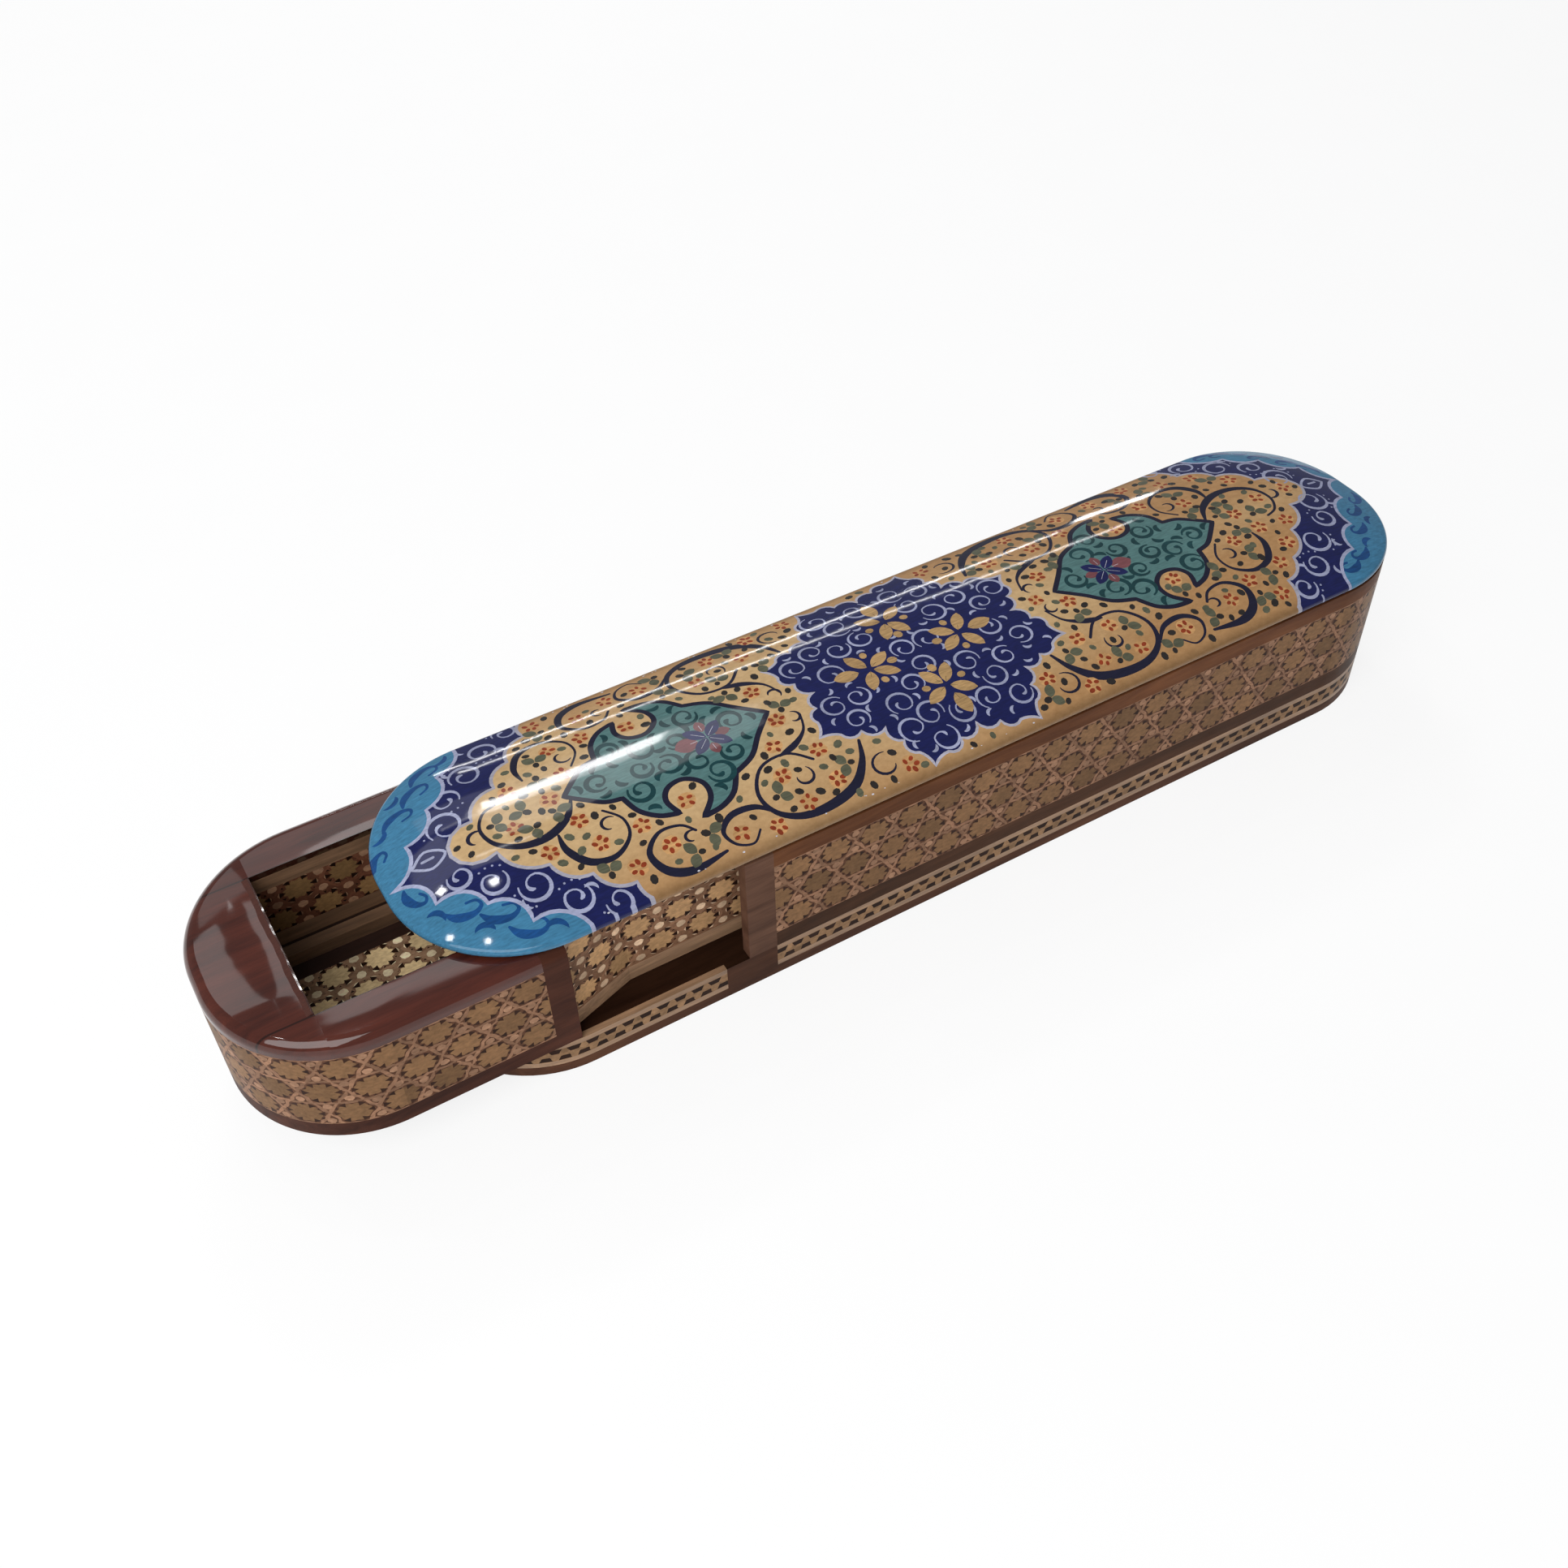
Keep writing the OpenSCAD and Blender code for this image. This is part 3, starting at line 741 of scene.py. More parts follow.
def blossom(art, centre):
    """A ring of red dabs on an orange blush."""
    count = chance.choice((4, 5, 5))
    start = chance.uniform(0, 360)
    art.lay(ring(centre, 2.0 + jitter(0.2), 12, 0, 0.85, start), "blush")
    for i in range(count):
        lean = start + 360 * i / count + jitter(12)
        spot = polar(centre, 0.66 + 0.11 * count + jitter(0.14), lean)
        art.lay(ring(spot, 0.66 + jitter(0.08), 8, 0, 0.72, lean + jitter(35)), "red")


def leaf_pair(art, centre):
    lean = chance.uniform(0, 360)
    for side in (-1, 1):
        petal(art, centre, 0.1, 3.0 + jitter(0.3), 2.2, lean + side * 55, "olive")
    art.lay(ring(polar(centre, 0.9, lean + 180), 0.88 + jitter(0.12), 8, 0, 0.8, lean), "soot")


def scroll(art, taken, path, width, shape):
    """An ink stroke of the ochre field, squeezed a little where it comes near the lid's edge."""
    squeezed = []
    for x, y in path:
        over = max(0, abs(y) - SQUEEZE_FROM)
        squeezed.append((x, y - math.copysign(SQUEEZE * over, y)))
    art.brush(squeezed, width, "ink", shape)
    taken += squeezed


# Widths of the outlines
OCHRE_LINE = 0.74
TURQUOISE_LINE = 0.78
CARTOUCHE_LINE = 1.15
STAR_LINE = 0.6
# Gap to what is there already, gap to each other and number of tries
BLOSSOM_SPACING = (2.4, 6.8, 9000)
LEAF_SPACING = (2.4, 4.7, 9000)
DOT_SPACING = (1.45, 2.8, 14000)
# Bulges of the scallops; the left end has one fuller lobe at its tip
OCHRE_BULGE = -0.2
TURQUOISE_BULGE = 0.24
TIP_LOBE = 4
TIP_BULGE = -0.72
# A place past the lid's end and side, where the outlines of the ends close
PAST_END = 140
PAST_SIDE = 45
CHIPS_AND_GLINTS_ON_A_SIDE = 16
# Curls: spacing, least and greatest size, width, room they take; crescents: spacing, size and width
TEAL_FILL = ((2.9, 5.4, 6000), (2.2, 2.8), 0.85, 2.0, (1.7, 3.4, 5000), 1.5, 1.25)
STAR_FILL = ((2.8, 5.7, 16000), (2.45, 3.0), 0.47, 2.1, (1.7, 3.8, 8000), 1.1, 0.7)


def fill(art, outline, taken, low, high, paint, look):
    """Curls over a field, and crescents in the gaps that they leave."""
    curl_spacing, sizes, curl_width, room, crescent_spacing, size, width = look
    field = partial(inside, outline=outline)
    for spot in scatter(field, taken, *curl_spacing, low, high):
        curl(art, spot, chance.uniform(*sizes), paint, curl_width)
        taken += ring(spot, room, 8)
    for spot in scatter(field, taken, *crescent_spacing, low, high):
        crescent(art, spot, size, paint, width)


def paint_lid():
    art = Drawing([stadium(DOME_RUN)], "ochre")
    star = star_outline()
    cartouche = cartouche_outline()
    taken = []
    navy_ends = []
    for flip, way in ((False, 1), (True, -1)):
        notches = OCHRE_EDGES[flip]
        bulges = [OCHRE_BULGE * way] * (len(notches) - 1)
        if not flip:
            bulges[TIP_LOBE] = TIP_BULGE
        edge = scallops(notches, bulges)
        past = [(-PAST_END * way, -PAST_SIDE), (-PAST_END * way, PAST_SIDE)]
        navy_ends.append(edge + past)
        art.lay(edge + past, "navy", 0.5)
        paint_navy_end(art, flip)
        turquoise = scallops(TURQUOISE_EDGES[flip], TURQUOISE_BULGE * way)
        art.lay(turquoise + past, "turquoise", 0.5)
        paint_turquoise(art, flip)
        art.brush(edge, OCHRE_LINE, "halo")
        art.brush(turquoise, TURQUOISE_LINE, "lavender")
        taken += edge
    scrolls(art, taken)
    fields = [star]
    for flip in (False, True):
        outline = placed(cartouche, flip)
        art.lay(outline, "teal", 0.5)
        art.brush(outline, CARTOUCHE_LINE, "ink", closed=True)
        paint_cartouche(art, outline, flip)
        fields.append(outline)
        taken += outline
    art.lay(star, "navy", 0.5)
    art.brush(star, STAR_LINE, "halo", closed=True)
    paint_star(art, star)
    taken += star

    def ochre_field(spot):
        return not any(inside(spot, f) for f in fields + navy_ends)

    def area_within(margin):
        return (-FIELD_END, margin - FIELD_HALF), (FIELD_END, FIELD_HALF - margin)

    for spot in scatter(ochre_field, taken, *BLOSSOM_SPACING, *area_within(1.3)):
        blossom(art, spot)
        taken += ring(spot, 1.5, 6)
    for spot in scatter(ochre_field, taken, *LEAF_SPACING, *area_within(1.6)):
        leaf_pair(art, spot)
        taken += ring(spot, 1.4, 6)
    for spot in scatter(ochre_field, taken, *DOT_SPACING, *area_within(0.2)):
        paint = "soot" if chance.random() < 0.65 else "olive"
        art.lay(ring(spot, 0.98 + jitter(0.16), 8, 0, 0.75, chance.uniform(0, 180)), paint)
    # Tiny white dots along both long edges: chips in the varnish, and painted glints of light on the edge
    for side in (-1, 1):
        for _ in range(CHIPS_AND_GLINTS_ON_A_SIDE):
            chip_and_glint = (chance.gauss(-45, 32), side * chance.uniform(26.7, 27.4))
            art.lay(ring(chip_and_glint, chance.uniform(0.12, 0.3), 6, chance.uniform(0, 60), 0.6), "white")
    return art


# Ink scrolls of the near left quarter: points, greatest width and where along them it lies
SCROLLS = (
    ([(-87.2, -8.2), (-87.3, -12.2), (-84.6, -16.4), (-79.8, -17.4), (-75.6, -14.6), (-74.9, -10.4),
      (-77.4, -6.8)], 1.6, "early"),
    ([(-63.8, -19.2), (-66, -16.9), (-70.4, -16.6), (-73.9, -20), (-72.6, -25), (-68, -27.3),
      (-60.6, -26.4)], 2.0, "late"),
    ([(-53.2, -25.2), (-55.6, -27.4), (-58.8, -26), (-59.8, -22.4), (-56.6, -19.5), (-51.6, -20),
      (-48.4, -23.4)], 1.3, "late"),
    ([(-35.6, -15.4), (-39.6, -11.8), (-45.6, -12.4), (-49.3, -17.6), (-48.2, -23.2), (-43.6, -26.4),
      (-37, -26.6), (-31, -24.6), (-27.2, -20.2), (-25.2, -15.6)], 2.2, "late"),
    ([(-41, -11.7), (-37, -10.6), (-33.4, -8), (-31.8, -4)], 1.5, "early"),
)
# Middle, size and sweep of the thin tails
TAILS = (
    ((-77.8, -10.6), 1.9, 230), ((-65.4, -20.4), 1.6, 220), ((-39.6, -18), 2.3, -250),
    ((-33.6, -4), 1.7, -220), ((-23.6, -23.2), 3.2, 270),
)
TIP_SCROLL = (
    (-81.3, -1.2), (-84, -5.2), (-89, -7.7), (-94.3, -7.3), (-98.3, -4.2), (-99.4, 0.4), (-97.4, 4),
    (-94.4, 5.1),
)


def scrolls(art, taken):
    """Thick and thin ink scrolls of the ochre field, each quarter with its own small differences."""
    for flip_x in (False, True):
        for flip_y in (False, True):
            for bend, width, shape in SCROLLS:
                dx, dy = jitter(0.4), jitter(0.4)
                moved = [(x + dx, y + dy) for x, y in flowing(bend)]
                scroll(art, taken, placed(moved, flip_x, flip_y), width * chance.uniform(0.9, 1.1), shape)
            for centre, size, sweep in TAILS:
                path = coil(centre, size, size * 0.6, 60 + jitter(30), sweep, 14)
                scroll(art, taken, placed(path, flip_x, flip_y), 0.65, "tapered")
        scroll(art, taken, placed(flowing(TIP_SCROLL), flip_x, flip_x), 1.9, "early")
        tail = coil((-100.8, -1.2), 2.2, 1.2, 40, 200, 12)
        scroll(art, taken, placed(tail, flip_x, flip_x), 0.8, "tapered")


# Middle, size, first direction and hand of the lavender curls; near left the ochre tip leaves less room
NAVY_CURLS = (
    (-104.6, -5.6, 3.5, 150, 1), (-101.8, -11.9, 2.7, 30, -1), (-95.6, -16.6, 3.2, 160, 1),
    (-90, -22.4, 2.9, 40, -1), (-83.8, -26.4, 2.6, 170, 1),
)
NEAR_LEFT_CURL = (-107.2, -7.8, 2.4, 150, 1)
NAVY_CRESCENTS = ((-108.4, -8.2, 250), (-99, -19.4, 200), (-94, -25.6, 200), (-86.8, -21, 60))


def end_place(x, y, flip, flip_y):
    """A place drawn on the left end's near side, moved to the end and side asked for."""
    return placed([(x, y)], flip, flip_y, 0)[0]


def end_lean(lean, flip, flip_y):
    """A direction drawn on the left end's near side, mirrored in the same way."""
    lean = 180 - lean if flip else lean
    return -lean if flip_y else lean


def paint_navy_end(art, flip):
    """Lavender curls, crescents, rows of dots and an almond between the scalloped edges of an end."""
    for flip_y in (False, True):
        near_left = not (flip or flip_y)
        hand = -1 if flip != flip_y else 1
        first_curl = NEAR_LEFT_CURL if near_left else NAVY_CURLS[0]
        for x, y, size, start, way in (first_curl, *NAVY_CURLS[1:]):
            spot = end_place(x + jitter(0.4), y + jitter(0.4), flip, flip_y)
            first = end_lean(start, flip, flip_y)
            curl(art, spot, size, "lavender", 0.62, first, hand * way)
            for i in range(4):
                art.lay(ring(polar(spot, size + 1.0, first + hand * (20 + 22 * i)), 0.25, 6), "lavender")
        for x, y, lean in NAVY_CRESCENTS[near_left:]:
            crescent(art, end_place(x, y, flip, flip_y), 1.5, "lavender", 0.8, lean)
    almond = [(-113.6, 0), (-110.2, -2.3), (-106.8, -0.2), (-110.2, 2.3)]
    art.brush(placed(flowing(almond + almond[:1], 5)[:-1], flip, middle=0), 0.6, "lavender", closed=True)
    art.brush(placed([(-111.4, 0.3), (-109.2, 0.1)], flip, middle=0), 0.6, "lavender")


# Middle, size and direction of the dark strokes in the turquoise of each end, drawn on the left's near side
TURQUOISE_STROKES = (
    ((-116.2, -6, 2.4, 205), (-113.6, -12.3, 2.2, 50), (-109.4, -14.2, 2.9, 238), (-107.8, -19.4, 2.2, 62),
     (-104, -18.4, 3.0, 242), (-101, -23.2, 3.0, 240), (-95.8, -25.4, 2.4, 70)),
    ((-116.2, -6.5, 2.3, 205), (-112.4, -10.4, 2.2, 232), (-112.4, -14.2, 1.8, 50), (-108.6, -16, 2.2, 236),
     (-106.8, -20, 2.0, 60), (-102.6, -22.4, 2.2, 242), (-98, -24.6, 2.2, 250)),
)
# The far left strokes are moved along and the near right ones across
FAR_LEFT_SHIFT = -2.2
NEAR_RIGHT_SHIFT = -1.6


def paint_turquoise(art, flip):
    """Dark strokes along the turquoise corners of an end: hooked with the back outwards, plain inwards."""
    for flip_y in (False, True):
        hand = -1 if flip != flip_y else 1
        for x, y, size, lean in TURQUOISE_STROKES[flip]:
            shift_x = FAR_LEFT_SHIFT if flip_y and not flip else 0
            shift_y = NEAR_RIGHT_SHIFT if flip and not flip_y else 0
            spot = end_place(x + shift_x + jitter(0.5), y + shift_y + jitter(0.5), flip, flip_y)
            back_outwards = lean > 180
            lean = end_lean(lean, flip, flip_y) + jitter(10)
            if back_outwards:
                hooked(art, spot, size * 1.15, "deep_blue", 1.75, lean, hand)
            else:
                crescent(art, spot, size, "deep_blue", 1.2, lean)


def paint_cartouche(art, outline, flip):
    flower = placed([(-51, 0)], flip)[0]
    taken = outline + [polar(flower, r, a) for r in (1.5, 3.4) for a in range(0, 360, 30)]
    low = (min(x for x, _ in outline), -17)
    high = (max(x for x, _ in outline), 19)
    fill(art, outline, taken, low, high, "deep_green", TEAL_FILL)
    outward = 0 if flip else 180
    petal(art, flower, 2.2, 7.2, 4.0, outward, "rose")
    for turn in (90, -90, 180):
        petal(art, flower, 1.8, 5.0, 2.3, outward + turn, "rose")
    for lean in (42, 138, 222, 318):
        petal(art, flower, 0.2, 5.2, 2.7, lean, "navy")
        vein(art, flower, 0.6, 3.4, 0.32, lean, "white")
    for lean in (90, 270, outward):
        vein(art, flower, 2.2, 3.8, 0.34, lean, "white")


def paint_star(art, star):
    blooms = [(STAR_X - 11, 0), (STAR_X + 11, 0), (STAR_X, 11.7), (STAR_X, -11.7)]
    taken = list(star)
    for bloom in blooms:
        taken += [polar(bloom, r, a) for r in (1.5, 4.0) for a in range(0, 360, 24)]
    fill(art, star, taken, (-34, -28), (30, 28), "lavender", STAR_FILL)
    for bloom in blooms:
        outward = math.degrees(math.atan2(bloom[1], bloom[0] - STAR_X))
        for turn in (0, 61, -61, 150, -150):
            inner, outer, wide = (2.6, 8.2, 3.3) if turn == 0 else (0.8, 6.4, 2.8)
            lean = outward + turn + jitter(6)
            petal(art, bloom, inner, outer, wide, lean, "gold")
            vein(art, bloom, inner - 0.4, inner + 1.6, 0.3, lean, "soot")
        for turn, reach, size in ((103, 4.4, 0.95), (-103, 4.4, 0.95), (180, 5.4, 1.15)):
            art.lay(ring(polar(bloom, reach, outward + turn), size, 10, 0, 0.85, outward + turn), "gold")


LID_GRID = 1.6
LID_GRID_MARGIN = 1.5
EDGE_STEPS = 7


def build_lid():
    corner = (LID_GRID_MARGIN - HALF_L, LID_GRID_MARGIN - HALF_W)
    grid = grid_points(2 * HALF_L - 2 * LID_GRID_MARGIN, 2 * HALF_W - 2 * LID_GRID_MARGIN, LID_GRID, corner)
    corners, triangles = paint_lid().split(grid)
    points, normals = mapped(corners, dome)
    faces = [(face, paint, tone, True) for face, paint, tone in triangles]
    loop = rim_loop(triangles)
    row = [corner for corner, _ in loop]
    for step in range(1, EDGE_STEPS + 1):
        tilt = DOME_TILT + (math.pi - DOME_TILT) * step / EDGE_STEPS
        new_row = []
        for corner, _ in loop:
            x, y = corners[corner]
            centre = Vector((math.copysign(CORNER_X, x), math.copysign(CORNER_Y, y), 0))
            out = Vector((x, y, 0)) - centre
            out.x = 0 if abs(x) <= CORNER_X else out.x
            out.y = 0 if abs(y) <= CORNER_Y else out.y
            root = Vector((x, y, 0)) - out
            way = out.normalized()
            facing = way * math.sin(tilt) + Vector((0, 0, math.cos(tilt)))
            new_row.append(len(points))
            points.append(root + way * EDGE_RUN + Vector((0, 0, LID_Z + LID_EDGE_R)) + facing * LID_EDGE_R)
            normals.append(facing)
        for i, (_, (paint, tone)) in enumerate(loop):
            j = (i + 1) % len(loop)
            faces.append(([row[j], row[i], new_row[i], new_row[j]], paint, tone, True))
        row = new_row
    faces.append((row[::-1], "underside", 0.5, False))
    make_piece("painted_lid", points, faces, normals, PAINT, "case", "lid_board")


build_lid()

# Inlaid panels

STRAIGHT = 2 * CORNER_X
QUARTER = math.pi / 2 * CORNER_R
ROUND_END = 2 * QUARTER + END_FLAT
PERIMETER = 2 * STRAIGHT + 2 * ROUND_END


def outline_at(along, inset):
    """Point and outward direction on the outline, along it to the right from the near wall's left end."""
    along %= PERIMETER
    sign = 1
    if along >= STRAIGHT + ROUND_END:
        along -= STRAIGHT + ROUND_END
        sign = -1
    if along <= STRAIGHT:
        at, way = (along - CORNER_X, -CORNER_Y), (0, -1)
    elif along <= STRAIGHT + QUARTER:
        at, way = (CORNER_X, -CORNER_Y), polar((0, 0), 1, -90 + 90 * (along - STRAIGHT) / QUARTER)
    elif along <= STRAIGHT + QUARTER + END_FLAT:
        at, way = (CORNER_X, along - STRAIGHT - QUARTER - CORNER_Y), (1, 0)
    else:
        past = along - STRAIGHT - QUARTER - END_FLAT
        at, way = (CORNER_X, CORNER_Y), polar((0, 0), 1, 90 * past / QUARTER)
    run = CORNER_R - inset
    return (sign * (at[0] + way[0] * run), sign * (at[1] + way[1] * run)), (sign * way[0], sign * way[1])


def near_run(x):
    """How far along the outline a place on the near side lies."""
    return x + CORNER_X


def far_run(x):
    """How far along the outline a place on the far side lies."""
    return STRAIGHT + ROUND_END + CORNER_X - x


def round_surface(z0, shift):
    def surface(u, v, depth=0):
        (x, y), (nx, ny) = outline_at(u, depth)
        return Vector((x + shift, y, z0 + v)), Vector((nx, ny, 0))
    return surface


def flat_surface(origin, along, up):
    origin, along, up = Vector(origin), Vector(along), Vector(up)
    facing = along.cross(up)

    def surface(u, v, depth=0):
        return origin + along * u + up * v - facing * depth, facing
    return surface


def bent_surface(outer, inner, thickness, z0):
    """Upright strip along a bent line in plan; inner is the line of its back."""
    def surface(u, v, depth=0):
        here = 0.0
        for (a, b), (c, d) in zip(zip(outer, outer[1:]), zip(inner, inner[1:])):
            length = math.dist(a, b)
            if u <= here + length + 1e-6 or b == outer[-1]:
                t = (u - here) / length
                face = Vector(a).lerp(Vector(b), t)
                rear = Vector(c).lerp(Vector(d), t)
                spot = face.lerp(rear, depth / thickness)
                return Vector((spot.x, spot.y, z0 + v)), Vector((b[1] - a[1], a[0] - b[0], 0)) / length
            here += length
    return surface


def strip_outline(u0, u1, height, step):
    count = max(1, int((u1 - u0) / step))
    low_edge = [(u0 + (u1 - u0) * i / count, 0.0) for i in range(count + 1)]
    return low_edge + [(u, height) for u, _ in low_edge[::-1]]


WALL_LOOK = {
    "strap": "wall_strap", "well": "wall_ground", "triangle": "wall_triangle", "dot": "wall_dot",
    "star": "wall_brass", "dark": "wall_dark", "tip": "wall_ground", "strap_w": 0.09, "dot_r": 0.105,
    "tooth": 0.335, "star_r": 0.365,
}
FINE_LOOK = {
    "strap": "strap", "well": "ground", "triangle": "strap", "dot": "bone",
    "star": "brass", "dark": "ebony", "tip": "bone", "strap_w": 0.12, "dot_r": 0.115,
    "tooth": 0.28, "star_r": 0.34,
}
# How far a slip's corners stray, as a part of the pitch
KHATAM_PLAY = 0.012


def khatam(art, u0, u1, height, first, pitch, row, look):
    """Stars in staggered rows, each in a strapwork hexagon, with a dot in every triangle between them."""
    rise = row / math.sin(math.radians(60))
    lowest = -math.ceil(first[1] / row) - 1
    highest = math.ceil((height - first[1]) / row) + 1
    cells = []
    for j in range(lowest, highest + 1):
        shift = first[0] + (pitch / 2 if j % 2 else 0)
        start = math.floor((u0 - shift) / pitch) - 1
        stop = math.ceil((u1 - shift) / pitch) + 1
        cells += [(shift + i * pitch, first[1] + j * row) for i in range(start, stop + 1)]

    def put(centre, points, paint):
        """Lays a slip of the star at centre, unless it falls outside the panel."""
        us = []
        vs = []
        for x, y in points:
            us.append(centre[0] + (x + jitter(KHATAM_PLAY)) * pitch)
            vs.append(centre[1] + (y + jitter(KHATAM_PLAY)) * rise)
        if max(us) > u0 and min(us) < u1 and max(vs) > 0 and min(vs) < height:
            art.lay(list(zip(us, vs)), paint)

    for layer in (khatam_ground, khatam_star):
        for centre in cells:
            layer(partial(put, centre), look)


def khatam_ground(put, look):
    """Strapwork hexagon of one star and the two triangles beside it, in parts of the pitch."""
    corners = [polar((0, 0), 0.5, 60 * k) for k in range(6)]
    for middle, start in (((0, 0.5774), -90), ((0.5, 0.2887), 90)):
        put([polar(middle, 0.2887, start + 120 * k) for k in range(3)], look["triangle"])
        for k in range(3):
            corner = polar(middle, 0.25, start + 120 * k)
            put([corner] + [polar(corner, 0.1, start + 120 * k + side) for side in (150, 210)], look["dark"])
    for a, b in zip(corners, corners[1:] + corners[:1]):
        put(strap(a, b, look["strap_w"]), look["strap"])


def khatam_star(put, look):
    """The star itself and the dots in its two triangles."""
    for middle in ((0, 0.5774), (0.5, 0.2887)):
        put([polar(middle, look["dot_r"], 22.5 + 45 * k) for k in range(8)], look["dot"])
    teeth = []
    for k in range(12):
        teeth.append(polar((0, 0), look["star_r"], 15 + 30 * k))
        teeth.append(polar((0, 0), look["tooth"], 30 + 30 * k))
    put(teeth, look["star"])
    for k in range(6):
        base = [polar((0, 0), 0.415, 60 * k + side) for side in (-12, 12)]
        put([polar((0, 0), 0.25, 60 * k)] + base, look["dark"])
        put(base[::-1] + [polar((0, 0), 0.44, 60 * k)], look["tip"])


def strap(a, b, width):
    """A strip from a to b that swells in the middle and wavers a little."""
    dx, dy = b[0] - a[0], b[1] - a[1]
    length = math.hypot(dx, dy)
    nx, ny = -dy / length * width / 2, dx / length * width / 2
    steps = ((0, 0.5), (0.25, 1.0), (0.5, 1.0), (0.75, 1.0), (1, 0.5))
    sides = ([], [])
    for t, half in steps:
        drift = jitter(half - 0.2)
        for side, way in zip(sides, (1, -1)):
            swell = drift + way * half + jitter(0.25)
            side.append((a[0] + dx * t + nx * swell, a[1] + dy * t + ny * swell))
    return sides[0] + sides[1][::-1]


WALL_PITCH, WALL_ROW = 8.9, 6.55
FINE_PITCH, FINE_ROW = 9.25, 6.8
VENEER = 0.5
BORDER_DEPTH = 1.4
CHEQUER_STEP = 3.85
# Middle of a star on the near side of the case, and of the drawer where it stands in the frame
CASE_STAR_X = -47.6
DRAWER_STAR_X = -113.4
# Middle of a star on the fine panels: past the bend of a side, from a panel's corner, or on the floor from
# its front end and middle line
SIDE_STAR = (7.4, 3.6)
LINING_STAR = (7.9, 9.4)
LINING_END_STAR = (9.25, 5.0)
FLOOR_STAR = (8.1, 9.0)


def round_panels():
    """Khatam walls and chequered borders that follow the rounded outline."""
    low, high = box_mm("case_khatam_near")
    case_x = low.x
    skin = high.y - low.y
    head_x = box_mm("drawer_khatam_near")[1].x + PULL_OUT
    right, left = near_run(CORNER_X), near_run(-CORNER_X) + PERIMETER
    runs = (
        ("case_khatam_near", "case", near_run(case_x), right),
        ("case_khatam_rear", "case", right, far_run(CORNER_X)),
        ("case_khatam_far", "case", far_run(CORNER_X), far_run(case_x)),
        ("drawer_khatam_far", "drawer", far_run(head_x), far_run(-CORNER_X)),
        ("drawer_khatam_head", "drawer", far_run(-CORNER_X), left),
        ("drawer_khatam_near", "drawer", left, near_run(head_x) + PERIMETER),
    )
    for node, body, u0, u1 in runs:
        low, high = box_mm(node)
        height = high.z - low.z
        curved = node.endswith(("rear", "head"))
        art = Drawing([strip_outline(u0, u1, height, 1.2 if curved else 12)], WALL_LOOK["well"])
        phase = near_run(CASE_STAR_X) if body == "case" else near_run(DRAWER_STAR_X + PULL_OUT) + PERIMETER
        khatam(art, u0, u1, height, (phase, height / 2 - WALL_ROW), WALL_PITCH, WALL_ROW, WALL_LOOK)
        surface = round_surface(low.z, -PULL_OUT if body == "drawer" else 0)
        grid = grid_points(u1 - u0, height, 1.3, (u0, 0)) if curved else ()
        inlaid_panel(node, body, art, surface, skin, curved, grid)
    for node, u0, u1 in (
        ("base_chequer_rear", near_run(case_x), far_run(case_x)),
        ("base_chequer_front", far_run(head_x), near_run(head_x) + PERIMETER),
    ):
        low, high = box_mm(node)
        height = high.z - low.z
        art = Drawing([strip_outline(u0, u1, height, 1.2)], "border_pale")
        chequers(art, u0, u1, height)
        inlaid_panel(node, "case", art, round_surface(low.z, 0), BORDER_DEPTH, True)


def chequers(art, u0, u1, height):
    """Two rows of dark wedges, half a step apart, with pale rounds between them."""
    count = round((u1 - u0) / CHEQUER_STEP)
    step = (u1 - u0) / count
    for i in range(count):
        for part, base, tip in ((0.25, height - 0.08, height - 1.35), (0.75, 0.08, 1.35)):
            u = u0 + (i + part) * step
            mid = u0 + (i + 1 - part) * step
            art.lay(ring((mid, (base + tip) / 2), 0.95, 10, 0, 0.95), "border_pale")
            wide, narrow = 1.45 + jitter(0.1), 0.85 + jitter(0.12)
            wedge = [(u - wide, base), (u + wide, base), (u + narrow, tip), (u - narrow, tip)]
            art.lay(wedge, "border_dark")


def fine_panel(node, surface, width, height, first, grounds=None, palette=INLAY):
    art = Drawing(grounds or [strip_outline(0, width, height, 12)], FINE_LOOK["well"])
    khatam(art, 0, width, height, first, FINE_PITCH, FINE_ROW, FINE_LOOK)
    inlaid_panel(node, "drawer", art, surface, VENEER, palette=palette)


def side_panel(side, sign):
    """Fine khatam on a narrow side of the drawer; it bends where the shoulder meets the side."""
    node = "side_khatam_" + side
    low, high = box_mm(node)
    height = high.z - low.z
    outer_y = max(abs(low.y), abs(high.y))
    narrow_y = abs(box_mm("rim_rear_strip")[1].y)
    bend_x = bend_place(node, narrow_y)
    line = [(low.x, outer_y), (bend_x, narrow_y), (high.x, narrow_y)]
    slope_l = math.dist(line[0], line[1])
    slant = slope_l / (bend_x - low.x)
    rise = (outer_y - narrow_y) / (bend_x - low.x)
    back = [
        (low.x, outer_y - VENEER * slant),
        (bend_x + (VENEER - VENEER * slant) / rise, narrow_y - VENEER),
        (high.x, narrow_y - VENEER),
    ]
    outer = [(x, sign * y) for x, y in line]
    inner = [(x, sign * y) for x, y in back]
    lengths = [slope_l, high.x - bend_x]
    if sign > 0:
        outer, inner, lengths = outer[::-1], inner[::-1], lengths[::-1]
    bend, whole = lengths[0], sum(lengths)
    grounds = [[(a, 0), (b, 0), (b, height), (a, height)] for a, b in ((0, bend), (bend, whole))]
    surface = bent_surface(outer, inner, VENEER, low.z)
    fine_panel(node, surface, whole, height, (bend - sign * SIDE_STAR[0], SIDE_STAR[1]), grounds)


